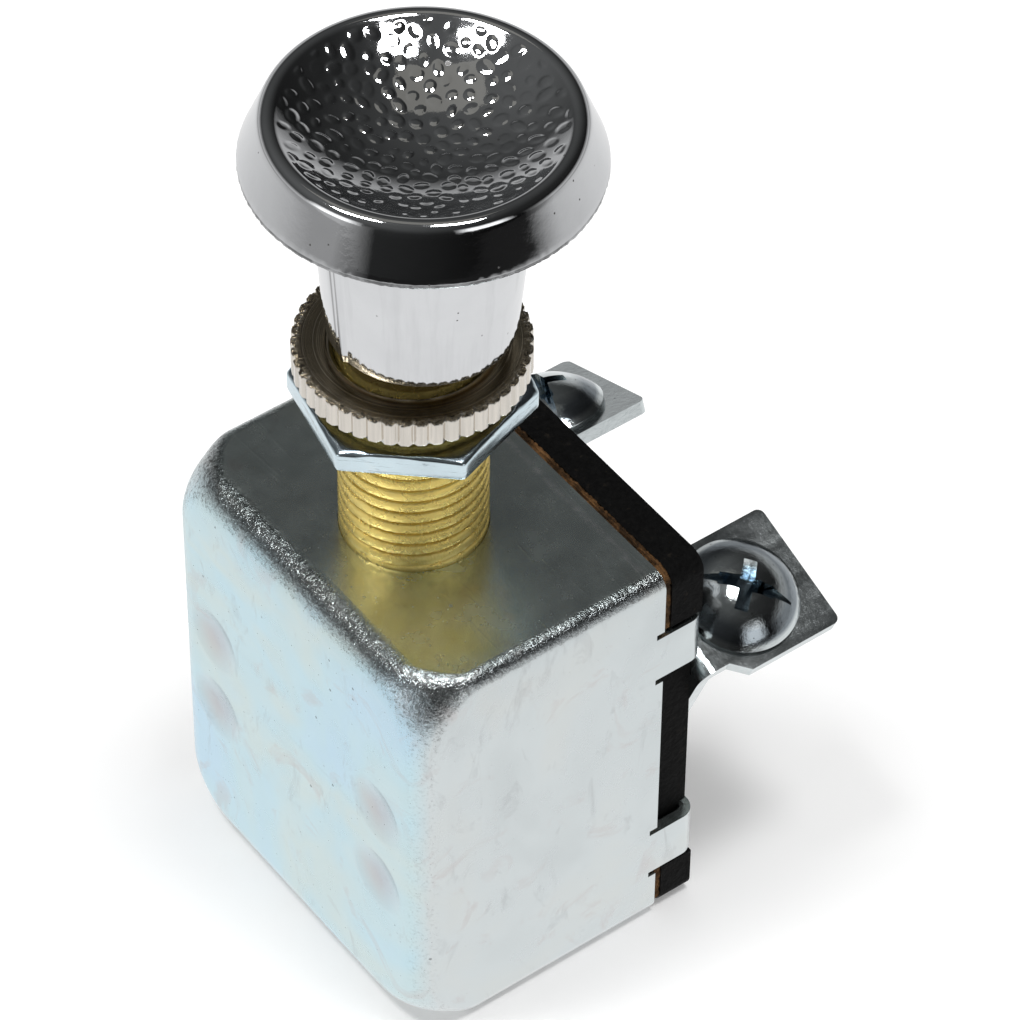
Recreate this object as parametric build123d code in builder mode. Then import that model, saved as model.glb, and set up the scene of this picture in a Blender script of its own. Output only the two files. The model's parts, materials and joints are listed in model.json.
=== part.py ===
from build123d import *
import math
import os

os.makedirs("parts", exist_ok=True)

# Push-pull panel switch, sizes in mm.
# The frame's origin is on the stem's axis at the case's top face: Z runs up the stem,
# the dented front faces -Y and the terminals face +Y.

# Case
case_width = 36.4
case_height = 43.2
case_front = 12.7
case_open = 12.7
wall = 1.0
corner_radius = 1.5
corner_front_radius = 6.75
corner_run = 6.2
front_edge_radius = 2.9
dent_inset = 6.2
dent_upper_z = -17.9
dent_pitch = 8.7
dent_diameter = 6.4
dent_depth = 0.5
tab_width = 5.0
tab_upper_z = -9.6
tab_pitch = 25.3
tab_bend_radius = 0.6
tab_lip = 3.2
tab_face_gap = 0.1
slit_width = 0.6
slit_depth = 0.8

# Threaded stem and its two nuts
stem_diameter = 12.7
stem_sink = 0.2
stem_chamfer = 0.45
stem_bore = 6.65
stem_flange_diameter = 17.0
stem_flange_thickness = 1.8
thread_gap = 0.05
hex_across_flats = 18.1
nut_gap = 2.12
hex_thickness = 2.25
hex_turn = 47.95
hex_corner_drop = 0.35
ring_radius = 9.88
knob_clearance = 2.25
ring_thickness = 2.4
ring_teeth = 46
ring_tooth_depth = 0.28
ring_tooth_flat = 0.6
ring_edge = 0.12
ring_sink = 0.55

# Plunger
shaft_diameter = 4.76
shaft_cover = 1.2
spigot_diameter = 3.6
lean_angle = 0.88
lean_heading = 53.2
lean_pivot = -26.0
lean_play = 0.3
pull_travel = 8.6
stop_ring_thickness = 0.9
stop_ring_diameter = 11.0
stop_groove_depth = 0.6
stop_gap = 0.05
stop_play = 0.15
stop_ring_mouth = 4.2
fit_gap = 0.05

# Knob
rim_height = 45.55
rim_radius = 12.84
rim_width = 1.15
rim_round = 1.0
skirt_radius = 14.69
skirt_drop = 4.5
skirt_edge = 0.3
hub_drop = 7.95
hub_length = 14.45
hub_bottom_radius = 7.88
hub_top_radius = 8.98
dish_depth = 3.6
underside_blend = 2.0
insert_radius = 4.6
insert_flange_radius = 5.8
insert_flange_thickness = 1.0
insert_drop = 9.2

# Carriage and contact set
carriage_side_gap = 0.5
carriage_top = -24.5
carriage_body_height = 12.0
carriage_foot = 16.0
carriage_floor_gap = 0.4
carriage_front_gap = 1.4
carriage_back_gap = 1.3
carriage_corner = 1.2
channel_height = 5.4
channel_depth = 1.0
ball_diameter = 4.76
ball_hole_diameter = 5.1
ball_rest_z = -31.0
ball_crest_gap = 0.06
bridge_length = 29.0
bridge_height = 5.0
bridge_thickness = 1.2
bridge_gap = 0.05
spring_wire = 0.6
spring_diameter = 4.2
spring_turns = 6.0
washer_diameter = 10.0
washer_thickness = 0.9
washer_sink = 3.0
peen_diameter = 7.0
peen_height = 1.1

# Board and terminals
sheet_thickness = 0.8
board_thickness = 3.3
board_side_gap = 0.2
board_top_gap = 0.15
board_foot_gap = 0.05
sheet_foot_gap = 0.05
board_corner = 1.6
board_notch_gap = 0.4
board_notch_clearance = 0.5
board_pocket = 0.7
board_pocket_gap = 0.4
board_chip = 0.7
terminal_inset = 4.3
terminal_z = -13.4
terminal_splay = 21.0
terminal_width = 12.3
terminal_thickness = 1.25
terminal_reach = 14.2
terminal_neck_width = 9.4
terminal_neck_length = 3.1
terminal_shoulder = 1.5
terminal_end_radius = 0.7
terminal_leg = 12.6
terminal_outer_bend = 1.6
terminal_inner_bend = 0.4
rivet_drop = 8.7
rivet_shank = 3.2
rivet_hole_gap = 0.1
rivet_head_diameter = 6.0
rivet_head_height = 1.3
contact_head_diameter = 5.0
contact_head_height = 0.8
screw_reach = 7.4
screw_diameter = 4.83
screw_root_diameter = 3.8
screw_length = 7.5
screw_tip_chamfer = 0.4
screw_head_diameter = 10.8
screw_head_height = 3.0
screw_head_rim = 0.5
screw_slot_width = 1.6
screw_slot_length = 10.2
screw_slot_depth = 1.5
screw_cross_length = 5.6
screw_cross_width = 1.2
screw_cross_depth = 2.1
left_screw_turn = 74.0
right_screw_turn = -46.0

# Worked out from the sizes above
half_width = case_width / 2
inner_half = half_width - wall
inner_front = -case_front + wall
case_middle = -case_height / 2
flange_bottom = -wall - stem_flange_thickness
board_out = case_open + sheet_thickness + board_thickness
board_bottom = -case_height + board_foot_gap
sheet_bottom = -case_height + sheet_foot_gap
hub_top = rim_height - hub_drop
hub_bottom = hub_top - hub_length
ring_bottom = hub_bottom - knob_clearance - ring_thickness
stem_top = ring_bottom + ring_thickness - stem_sink
hex_bottom = ring_bottom - nut_gap - hex_thickness
skirt_high = rim_height - skirt_drop
skirt_low = skirt_high - skirt_edge
insert_top = rim_height - insert_drop
shaft_top = insert_top - shaft_cover
bore_radius = stem_bore / 2
terminal_x = half_width - terminal_inset
dent_x = half_width - dent_inset
dent_points = [(sx * dent_x, dent_upper_z - k * dent_pitch) for sx in (-1, 1) for k in (0, 1)]
tab_heights = [tab_upper_z, tab_upper_z - tab_pitch]
notch_top = tab_upper_z + tab_width / 2 + board_notch_clearance
notch_bottom = tab_upper_z - tab_pitch - tab_width / 2 - board_notch_clearance
notch_edge = inner_half - board_notch_gap
splay = math.radians(terminal_splay)
rivet_x = terminal_x - rivet_drop * math.sin(splay)
rivet_z = terminal_z - rivet_drop * math.cos(splay)
dent_ball = ((dent_diameter / 2) ** 2 + dent_depth ** 2) / (2 * dent_depth)
bump_crest = inner_front + dent_depth
ball_y = bump_crest + ball_crest_gap + ball_diameter / 2
carriage_front = inner_front + carriage_front_gap
carriage_back = case_open - carriage_back_gap
carriage_low = -case_height + wall + carriage_floor_gap
bridge_back = case_open - contact_head_height - bridge_gap
bridge_front = bridge_back - bridge_thickness
stop_ring_top = flange_bottom - pull_travel - stop_play
groove_radius = shaft_diameter / 2 - stop_groove_depth
washer_top = carriage_low + washer_sink

# The plunger leans in its loose bore as it does in the photo
lean_direction = (
    math.sin(math.radians(lean_angle)) * math.cos(math.radians(lean_heading)),
    math.sin(math.radians(lean_angle)) * math.sin(math.radians(lean_heading)),
    math.cos(math.radians(lean_angle)),
)
lean_turn = Location(Plane(origin=(0, 0, lean_pivot), x_dir=(1, 0, 0), z_dir=lean_direction))
lean = lean_turn * Location((0, 0, -lean_pivot))

back_plane = Plane(origin=(0, case_open, case_middle), x_dir=(1, 0, 0), z_dir=(0, -1, 0))

# Outlines that the drawn front is lofted through: how far behind the front each one lies, how far it is
# drawn in by the front edge's rounding, and its corner radius, which eases from the front's to the sides'
edge_steps = []
for angle in (0, 18, 36, 54, 72, 90):
    edge_steps.append((1 - math.cos(math.radians(angle)), 1 - math.sin(math.radians(angle)), 0))
side_steps = [(1, 0, onward) for onward in (0, 0.33, 0.67, 1)]


def drawn_outlines(steps, inset):
    outlines = []
    edge_radius = front_edge_radius - inset
    run = corner_run - inset
    for behind, drawn_in, onward in steps:
        depth = behind * edge_radius + onward * (run - edge_radius)
        ease = 0.5 + 0.5 * math.cos(math.pi * depth / run)
        radius = corner_radius + (corner_front_radius - corner_radius) * ease - inset
        shrink = inset + drawn_in * edge_radius
        outlines.append((depth + inset - case_front, shrink, radius - drawn_in * edge_radius))
    return outlines


# Cavity that is taken out of the case: the corners are fuller toward the front, as the case's are
with BuildPart() as cavity:
    for steps in (edge_steps, side_steps):
        for y, shrink, radius in drawn_outlines(steps, wall):
            with BuildSketch(Plane(origin=(0, y, case_middle), x_dir=(1, 0, 0), z_dir=(0, -1, 0))):
                RectangleRounded(case_width - 2 * shrink, case_height - 2 * shrink, radius)
        loft()
    with BuildSketch(back_plane):
        RectangleRounded(case_width - 2 * wall, case_height - 2 * wall, corner_radius - wall)
    extrude(amount=case_open + case_front - corner_run)

# Inner bump behind one dent: a cap one wall thicker than the ball that pressed it
with BuildPart() as bump:
    with Locations((0, -case_front - dent_ball + dent_depth, 0)):
        Sphere(dent_ball + wall)
    with Locations((0, inner_front - 0.5 * wall, 0)):
        Box(
            2 * dent_diameter,
            2 * dent_depth + wall,
            2 * dent_diameter,
            align=(Align.CENTER, Align.MIN, Align.CENTER),
            mode=Mode.INTERSECT,
        )

# Case: the drawn shell, its stem hole, dents and tabs
with BuildPart() as case:
    for steps in (edge_steps, side_steps):
        for y, shrink, radius in drawn_outlines(steps, 0):
            with BuildSketch(Plane(origin=(0, y, case_middle), x_dir=(1, 0, 0), z_dir=(0, -1, 0))):
                RectangleRounded(case_width - 2 * shrink, case_height - 2 * shrink, radius)
        loft()
    with BuildSketch(back_plane):
        RectangleRounded(case_width, case_height, corner_radius)
    extrude(amount=case_open + case_front - corner_run)
    add(cavity.part, mode=Mode.SUBTRACT)
    with Locations(*[(x, 0, z) for x, z in dent_points]):
        add(bump.part)
    with Locations(*[(x, -case_front - dent_ball + dent_depth, z) for x, z in dent_points]):
        Sphere(dent_ball, mode=Mode.SUBTRACT)
    with Locations((0, 0, -wall / 2)):
        Cylinder(stem_diameter / 2 + fit_gap, 2 * wall, mode=Mode.SUBTRACT)
    slit_points = []
    for z in tab_heights:
        for side in (-1, 1):
            for edge in (-1, 1):
                slit_z = z + edge * (tab_width + slit_width) / 2
                slit_points.append((side * (half_width - wall / 2), case_open, slit_z))
    with Locations(*slit_points):
        Box(2 * wall, 2 * slit_depth, slit_width, mode=Mode.SUBTRACT)
    tab_inner_y = board_out - board_pocket + tab_face_gap
    tab_outer_y = tab_inner_y + wall
    bend_y = tab_inner_y - tab_bend_radius
    bend_x = inner_half - tab_bend_radius
    outer_bend = tab_bend_radius + wall
    for z in tab_heights:
        with BuildSketch(Plane.XY.offset(z - tab_width / 2)) as tab_profile:
            with BuildLine():
                Line((half_width, case_open - wall), (half_width, bend_y))
                CenterArc((bend_x, bend_y), outer_bend, 0, 90)
                Line((bend_x, tab_outer_y), (inner_half - tab_lip, tab_outer_y))
                Line((inner_half - tab_lip, tab_outer_y), (inner_half - tab_lip, tab_inner_y))
                Line((inner_half - tab_lip, tab_inner_y), (bend_x, tab_inner_y))
                CenterArc((bend_x, bend_y), tab_bend_radius, 0, 90)
                Line((inner_half, bend_y), (inner_half, case_open - wall))
                Line((inner_half, case_open - wall), (half_width, case_open - wall))
            make_face()
            mirror(about=Plane.YZ)
        extrude(amount=tab_width)
case.part.label = "case"
export_step(case.part, "parts/case.step")

# Mounting bushing: the stem is left plain at the thread's crest
with BuildPart() as mounting_bushing:
    with BuildSketch(Plane.XZ):
        with BuildLine():
            Polyline(
                (bore_radius, flange_bottom),
                (stem_flange_diameter / 2, flange_bottom),
                (stem_flange_diameter / 2, -wall),
                (stem_diameter / 2, -wall),
                (stem_diameter / 2, stem_top - stem_chamfer),
                (stem_diameter / 2 - stem_chamfer, stem_top),
                (bore_radius, stem_top),
                close=True,
            )
        make_face()
    revolve(axis=Axis.Z)
mounting_bushing.part.label = "mounting_bushing"
export_step(mounting_bushing.part, "parts/mounting_bushing.step")

# Hexagon nut: the corners are turned down to a cone on the face toward the panel
hex_corner = hex_across_flats / math.sqrt(3)
with BuildPart() as hex_nut:
    with BuildSketch(Plane.XY.offset(hex_bottom)):
        RegularPolygon(hex_corner, 6, rotation=hex_turn)
        Circle(stem_diameter / 2 + thread_gap, mode=Mode.SUBTRACT)
    extrude(amount=hex_thickness)
    with BuildSketch(Plane.XZ):
        with BuildLine():
            Polyline(
                (0, hex_bottom - hex_thickness),
                (2 * hex_corner, hex_bottom - hex_thickness),
                (2 * hex_corner, hex_bottom + hex_thickness - hex_corner_drop),
                (hex_corner, hex_bottom + hex_thickness - hex_corner_drop),
                (hex_across_flats / 2 - 0.1, hex_bottom + hex_thickness),
                (0, hex_bottom + hex_thickness),
                close=True,
            )
        make_face()
    revolve(axis=Axis.Z, mode=Mode.INTERSECT)
hex_nut.part.label = "hex_nut"
export_step(hex_nut.part, "parts/hex_nut.step")

# Ring nut: straight knurl of flat teeth with sloped flanks
tooth_step = 2 * math.pi / ring_teeth
root_radius = ring_radius - ring_tooth_depth
tooth_angles = [
    -ring_tooth_flat / 2,
    ring_tooth_flat / 2,
    ring_tooth_flat / 2 + (1 - ring_tooth_flat) * 0.42,
    ring_tooth_flat / 2 + (1 - ring_tooth_flat) * 0.58,
]
tooth_radii = [ring_radius, ring_radius, root_radius, root_radius]
knurl_points = []
for k in range(ring_teeth):
    for a, r in zip(tooth_angles, tooth_radii):
        knurl_points.append((r * math.cos((k + a) * tooth_step), r * math.sin((k + a) * tooth_step)))
with BuildPart() as ring_nut:
    with BuildSketch(Plane.XY.offset(ring_bottom)):
        with BuildLine():
            Polyline(*knurl_points, close=True)
        make_face()
        Circle(stem_diameter / 2 + thread_gap, mode=Mode.SUBTRACT)
    extrude(amount=ring_thickness)
    with BuildSketch(Plane.XZ):
        with BuildLine():
            Polyline(
                (stem_diameter / 4, ring_bottom),
                (ring_radius - ring_edge, ring_bottom),
                (ring_radius + ring_edge, ring_bottom + 2 * ring_edge),
                (ring_radius + ring_edge, ring_bottom + ring_thickness - 2 * ring_edge),
                (ring_radius - ring_edge, ring_bottom + ring_thickness),
                (stem_diameter / 2 + thread_gap + ring_sink, ring_bottom + ring_thickness),
                (stem_diameter / 2 + thread_gap, ring_bottom + ring_thickness - ring_sink),
                (stem_diameter / 4, ring_bottom + ring_thickness - ring_sink),
                close=True,
            )
        make_face()
    revolve(axis=Axis.Z, mode=Mode.INTERSECT)
ring_nut.part.label = "ring_nut"
export_step(ring_nut.part, "parts/ring_nut.step")

# Plunger shaft: grooved for the stop ring, with a spigot that is peened under the carriage
shaft_radius = shaft_diameter / 2
spigot_radius = spigot_diameter / 2
groove_top = stop_ring_top + stop_gap
groove_bottom = stop_ring_top - stop_ring_thickness - stop_gap
peen_top = washer_top - washer_thickness - stop_gap
shoulder_z = carriage_top + stop_gap
with BuildPart() as upright_shaft:
    with BuildSketch(Plane.XZ):
        with BuildLine():
            Polyline(
                (0, peen_top - peen_height),
                (peen_diameter / 2 - 0.6 * peen_height, peen_top - peen_height),
                (peen_diameter / 2, peen_top - 0.4 * peen_height),
                (peen_diameter / 2, peen_top),
                (spigot_radius, peen_top),
                (spigot_radius, shoulder_z),
                (shaft_radius, shoulder_z),
                (shaft_radius, groove_bottom),
                (groove_radius, groove_bottom),
                (groove_radius, groove_top),
                (shaft_radius, groove_top),
                (shaft_radius, shaft_top - stem_chamfer),
                (shaft_radius - stem_chamfer, shaft_top),
                (0, shaft_top),
                close=True,
            )
        make_face()
    revolve(axis=Axis.Z)
with BuildPart() as plunger_shaft:
    with Locations(lean):
        add(upright_shaft.part)
plunger_shaft.part.label = "plunger_shaft"
export_step(plunger_shaft.part, "parts/plunger_shaft.step")

# Stop ring: open retaining ring in the shaft's groove
with BuildPart() as upright_stop_ring:
    with BuildSketch(Plane.XY.offset(stop_ring_top - stop_ring_thickness)):
        Circle(stop_ring_diameter / 2)
        Circle(groove_radius + fit_gap, mode=Mode.SUBTRACT)
        with Locations((0, stop_ring_diameter / 2)):
            Rectangle(stop_ring_mouth, stop_ring_diameter, mode=Mode.SUBTRACT)
    extrude(amount=stop_ring_thickness)
with BuildPart() as stop_ring:
    with Locations(lean):
        add(upright_stop_ring.part)
stop_ring.part.label = "stop_ring"
export_step(stop_ring.part, "parts/stop_ring.step")

# Knob: the mushroom head, its hub and the socket for the insert
dish_radius = rim_radius - rim_width
dish_arc = (dish_radius ** 2 + dish_depth ** 2) / (2 * dish_depth)
dish_mid = dish_radius / 2
dish_mid_z = rim_height - dish_depth + dish_arc - math.sqrt(dish_arc ** 2 - dish_mid ** 2)
socket_radius = insert_radius + fit_gap
socket_flange = insert_flange_radius + fit_gap
with BuildPart() as upright_knob:
    with BuildSketch(Plane.XZ) as knob_profile:
        with BuildLine():
            Polyline(
                (0, insert_top + fit_gap),
                (socket_radius, insert_top + fit_gap),
                (socket_radius, hub_bottom + insert_flange_thickness),
                (socket_flange, hub_bottom + insert_flange_thickness),
                (socket_flange, hub_bottom),
                (hub_bottom_radius, hub_bottom),
                (hub_top_radius, hub_top),
                (skirt_radius, skirt_low),
                (skirt_radius, skirt_high),
                (rim_radius, rim_height),
                (dish_radius, rim_height),
            )
            ThreePointArc((dish_radius, rim_height), (dish_mid, dish_mid_z), (0, rim_height - dish_depth))
            Line((0, rim_height - dish_depth), (0, insert_top + fit_gap))
        make_face()
        blend_corner = knob_profile.vertices().sort_by_distance((hub_top_radius, hub_top))[0]
        fillet(blend_corner, underside_blend)
        rim_corner = knob_profile.vertices().sort_by_distance((rim_radius, rim_height))[0]
        fillet(rim_corner, rim_round)
    revolve(axis=Axis.Z)
with BuildPart() as knob:
    with Locations(lean):
        add(upright_knob.part)
knob.part.label = "knob"
export_step(knob.part, "parts/knob.step")

# Knob insert: brass socket for the shaft's upper end
with BuildPart() as upright_insert:
    with BuildSketch(Plane.XZ):
        with BuildLine():
            Polyline(
                (shaft_radius + fit_gap, hub_bottom),
                (insert_flange_radius, hub_bottom),
                (insert_flange_radius, hub_bottom + insert_flange_thickness - fit_gap),
                (insert_radius, hub_bottom + insert_flange_thickness - fit_gap),
                (insert_radius, insert_top),
                (0, insert_top),
                (0, shaft_top + fit_gap),
                (shaft_radius + fit_gap, shaft_top + fit_gap),
                close=True,
            )
        make_face()
    revolve(axis=Axis.Z)
with BuildPart() as knob_insert:
    with Locations(lean):
        add(upright_insert.part)
knob_insert.part.label = "knob_insert"
export_step(knob_insert.part, "parts/knob_insert.step")

# Carriage: moulded slider with the ball bores, the bridge's channel and a foot that stops it
carriage_half = inner_half - carriage_side_gap
carriage_length = carriage_back - carriage_front
carriage_mid_y = (carriage_back + carriage_front) / 2
ball_points = [(-dent_x, ball_rest_z), (dent_x, ball_rest_z)]
with BuildPart() as carriage:
    with BuildSketch(Plane.XY.offset(carriage_top - carriage_body_height)):
        with Locations((0, carriage_mid_y)):
            RectangleRounded(2 * carriage_half, carriage_length, carriage_corner)
    extrude(amount=carriage_body_height)
    with BuildSketch(Plane.XY.offset(carriage_low)):
        RectangleRounded(carriage_foot, carriage_foot, carriage_corner)
    extrude(amount=carriage_top - carriage_body_height - carriage_low)
    with BuildSketch(Plane.XZ.offset(-carriage_back)):
        with Locations((0, ball_rest_z)):
            Rectangle(4 * carriage_half, channel_height)
    extrude(amount=channel_depth, mode=Mode.SUBTRACT)
    with BuildSketch(Plane.XZ.offset(-carriage_back)):
        with Locations(*ball_points):
            Circle(ball_hole_diameter / 2)
    extrude(amount=carriage_length, mode=Mode.SUBTRACT)
    with BuildSketch(Plane.XY.offset(carriage_low)):
        Circle(spigot_radius + lean_play)
    extrude(amount=carriage_top - carriage_low, mode=Mode.SUBTRACT)
    with BuildSketch(Plane.XY.offset(carriage_low)):
        Circle(washer_diameter / 2 + 4 * fit_gap)
    extrude(amount=washer_sink, mode=Mode.SUBTRACT)
carriage.part.label = "carriage"
export_step(carriage.part, "parts/carriage.step")

# Carriage washer
with BuildPart() as carriage_washer:
    with BuildSketch(Plane.XY.offset(washer_top - washer_thickness)):
        Circle(washer_diameter / 2)
        Circle(spigot_radius + lean_play, mode=Mode.SUBTRACT)
    extrude(amount=washer_thickness)
carriage_washer.part.label = "carriage_washer"
export_step(carriage_washer.part, "parts/carriage_washer.step")

# Contact bridge: copper bar in the carriage's channel
with BuildPart() as contact_bridge:
    with BuildSketch(Plane.XZ.offset(-bridge_back)):
        with Locations((0, ball_rest_z)):
            RectangleRounded(bridge_length, bridge_height, 0.2 * bridge_height)
    extrude(amount=bridge_thickness)
    fillet(contact_bridge.faces().sort_by(Axis.Y)[-1].edges(), 0.3 * bridge_thickness)
contact_bridge.part.label = "contact_bridge"
export_step(contact_bridge.part, "parts/contact_bridge.step")

# Detent balls
with BuildPart() as detent_ball_left:
    with Locations((-dent_x, ball_y, ball_rest_z)):
        Sphere(ball_diameter / 2)
detent_ball_left.part.label = "detent_ball_left"
export_step(detent_ball_left.part, "parts/detent_ball_left.step")

with BuildPart() as detent_ball_right:
    with Locations((dent_x, ball_y, ball_rest_z)):
        Sphere(ball_diameter / 2)
detent_ball_right.part.label = "detent_ball_right"
export_step(detent_ball_right.part, "parts/detent_ball_right.step")

# Contact springs: coils between the bridge and the ball
spring_radius = (spring_diameter - spring_wire) / 2
ball_reach = math.sqrt((ball_diameter / 2 + spring_wire / 2) ** 2 - spring_radius ** 2)
spring_front = ball_y + ball_reach + fit_gap
spring_back = bridge_front - spring_wire / 2 - fit_gap
spring_length = spring_back - spring_front
with BuildPart() as contact_spring_left:
    with BuildLine() as left_coil:
        Helix(
            spring_length / spring_turns,
            spring_length,
            spring_radius,
            center=(-dent_x, spring_front, ball_rest_z),
            direction=(0, 1, 0),
        )
    with BuildSketch(Plane(left_coil.line @ 0, z_dir=left_coil.line % 0)):
        Circle(spring_wire / 2)
    sweep(path=left_coil.line)
contact_spring_left.part.label = "contact_spring_left"
export_step(contact_spring_left.part, "parts/contact_spring_left.step")

with BuildPart() as contact_spring_right:
    with BuildLine() as right_coil:
        Helix(
            spring_length / spring_turns,
            spring_length,
            spring_radius,
            center=(dent_x, spring_front, ball_rest_z),
            direction=(0, 1, 0),
        )
    with BuildSketch(Plane(right_coil.line @ 0, z_dir=right_coil.line % 0)):
        Circle(spring_wire / 2)
    sweep(path=right_coil.line)
contact_spring_right.part.label = "contact_spring_right"
export_step(contact_spring_right.part, "parts/contact_spring_right.step")

# Insulator sheet: brown fibre against the case's open edge
board_half = half_width - board_side_gap
sheet_height = -board_top_gap - sheet_bottom
board_height = -board_top_gap - board_bottom
sheet_plane = Plane(origin=(0, case_open, 0), x_dir=(-1, 0, 0), z_dir=(0, 1, 0))
board_plane = Plane(origin=(0, case_open + sheet_thickness, 0), x_dir=(-1, 0, 0), z_dir=(0, 1, 0))
notch_middle = (notch_top + notch_bottom) / 2
notch_height = notch_top - notch_bottom
notch_depth = 2 * (board_half - notch_edge)
rivet_points = [(-rivet_x, rivet_z), (rivet_x, rivet_z)]
with BuildPart() as insulator_sheet:
    with BuildSketch(sheet_plane):
        with Locations((0, -board_top_gap - sheet_height / 2)):
            RectangleRounded(2 * board_half, sheet_height, board_corner)
        with Locations((-board_half, notch_middle), (board_half, notch_middle)):
            Rectangle(notch_depth, notch_height, mode=Mode.SUBTRACT)
        with Locations(*rivet_points):
            Circle(rivet_shank / 2 + rivet_hole_gap, mode=Mode.SUBTRACT)
    extrude(amount=sheet_thickness)
insulator_sheet.part.label = "insulator_sheet"
export_step(insulator_sheet.part, "parts/insulator_sheet.step")

# Terminal board: black moulding, with the broken lower corner that the photo shows
with BuildPart() as terminal_board:
    with BuildSketch(board_plane):
        with Locations((0, -board_top_gap - board_height / 2)):
            RectangleRounded(2 * board_half, board_height, board_corner)
        with Locations((-board_half, notch_middle), (board_half, notch_middle)):
            Rectangle(notch_depth, notch_height, mode=Mode.SUBTRACT)
        with Locations(*rivet_points):
            Circle(rivet_shank / 2 + rivet_hole_gap, mode=Mode.SUBTRACT)
        with Locations((-board_half, board_bottom)):
            Polygon(
                (-board_chip, -board_chip),
                (1.9 * board_chip, -board_chip),
                (1.5 * board_chip, 0.15 * board_chip),
                (0.8 * board_chip, 0.55 * board_chip),
                (-board_chip, 0.7 * board_chip),
                align=None,
                mode=Mode.SUBTRACT,
            )
    extrude(amount=board_thickness)
    pocket_width = tab_lip + board_pocket_gap
    pocket_x = inner_half - pocket_width / 2 + wall / 2
    pocket_start = board_plane.from_local_coords((0, 0, board_thickness))
    with BuildSketch(Plane(pocket_start, x_dir=(1, 0, 0), z_dir=(0, 1, 0))):
        with Locations(*[(side * pocket_x, -z) for z in tab_heights for side in (-1, 1)]):
            Rectangle(pocket_width + wall, tab_width + 2 * board_pocket_gap)
    extrude(amount=-board_pocket, mode=Mode.SUBTRACT)
terminal_board.part.label = "terminal_board"
export_step(terminal_board.part, "parts/terminal_board.step")


def terminal_planes(side):
    """Planes of one terminal: its side profile, its tab seen from above and its leg seen from behind."""
    origin = (side * terminal_x, board_out, terminal_z)
    across = (side * math.cos(splay), 0, -math.sin(splay))
    up = (side * math.sin(splay), 0, math.cos(splay))
    profile = Plane(origin=origin, x_dir=(0, 1, 0), z_dir=tuple(side * c for c in across))
    tab = Plane(origin=origin, x_dir=tuple(side * c for c in across), z_dir=up)
    leg = Plane(origin=origin, x_dir=tuple(-side * c for c in across), z_dir=(0, 1, 0))
    return profile, tab, leg


left_profile, left_tab, left_leg = terminal_planes(-1)
right_profile, right_tab, right_leg = terminal_planes(1)
neck_edge = terminal_neck_width / 2
tab_edge = terminal_width / 2
shoulder_end = terminal_neck_length + terminal_shoulder
neck_cut = [
    (neck_edge, -terminal_thickness),
    (2 * tab_edge, -terminal_thickness),
    (2 * tab_edge, shoulder_end),
    (tab_edge, shoulder_end),
    (neck_edge, terminal_neck_length),
]

# Screw terminals: an L bent from strip, narrowed toward the board
with BuildPart() as terminal_left:
    with BuildSketch(left_profile) as left_side:
        with BuildLine():
            Polyline(
                (0, 0),
                (terminal_reach, 0),
                (terminal_reach, -terminal_thickness),
                (terminal_thickness, -terminal_thickness),
                (terminal_thickness, -terminal_leg),
                (0, -terminal_leg),
                close=True,
            )
        make_face()
        fillet(left_side.vertices().sort_by_distance((0, 0))[0], terminal_outer_bend)
        left_bend = left_side.vertices().sort_by_distance((terminal_thickness, -terminal_thickness))
        fillet(left_bend[0], terminal_inner_bend)
    extrude(amount=tab_edge, both=True)
    with BuildSketch(left_tab):
        with BuildLine():
            Polyline(*neck_cut, close=True)
        make_face()
        mirror(about=Plane.YZ)
    extrude(amount=2 * terminal_leg, both=True, mode=Mode.SUBTRACT)
    left_ends = terminal_left.edges().filter_by(Axis(left_tab.origin, left_tab.z_dir))
    fillet(left_ends.sort_by(Axis.Y)[-2:], terminal_end_radius)
    with BuildSketch(left_tab):
        with Locations((0, screw_reach)):
            Circle(screw_diameter / 2 + fit_gap)
    extrude(amount=2 * terminal_thickness, both=True, mode=Mode.SUBTRACT)
    with BuildSketch(left_leg):
        with Locations((0, -rivet_drop)):
            Circle(rivet_shank / 2 + rivet_hole_gap)
    extrude(amount=2 * terminal_thickness, mode=Mode.SUBTRACT)
terminal_left.part.label = "terminal_left"
export_step(terminal_left.part, "parts/terminal_left.step")

with BuildPart() as terminal_right:
    with BuildSketch(right_profile) as right_side:
        with BuildLine():
            Polyline(
                (0, 0),
                (terminal_reach, 0),
                (terminal_reach, -terminal_thickness),
                (terminal_thickness, -terminal_thickness),
                (terminal_thickness, -terminal_leg),
                (0, -terminal_leg),
                close=True,
            )
        make_face()
        fillet(right_side.vertices().sort_by_distance((0, 0))[0], terminal_outer_bend)
        right_bend = right_side.vertices().sort_by_distance((terminal_thickness, -terminal_thickness))
        fillet(right_bend[0], terminal_inner_bend)
    extrude(amount=tab_edge, both=True)
    with BuildSketch(right_tab):
        with BuildLine():
            Polyline(*neck_cut, close=True)
        make_face()
        mirror(about=Plane.YZ)
    extrude(amount=2 * terminal_leg, both=True, mode=Mode.SUBTRACT)
    right_ends = terminal_right.edges().filter_by(Axis(right_tab.origin, right_tab.z_dir))
    fillet(right_ends.sort_by(Axis.Y)[-2:], terminal_end_radius)
    with BuildSketch(right_tab):
        with Locations((0, screw_reach)):
            Circle(screw_diameter / 2 + fit_gap)
    extrude(amount=2 * terminal_thickness, both=True, mode=Mode.SUBTRACT)
    with BuildSketch(right_leg):
        with Locations((0, -rivet_drop)):
            Circle(rivet_shank / 2 + rivet_hole_gap)
    extrude(amount=2 * terminal_thickness, mode=Mode.SUBTRACT)
terminal_right.part.label = "terminal_right"
export_step(terminal_right.part, "parts/terminal_right.step")

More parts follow.
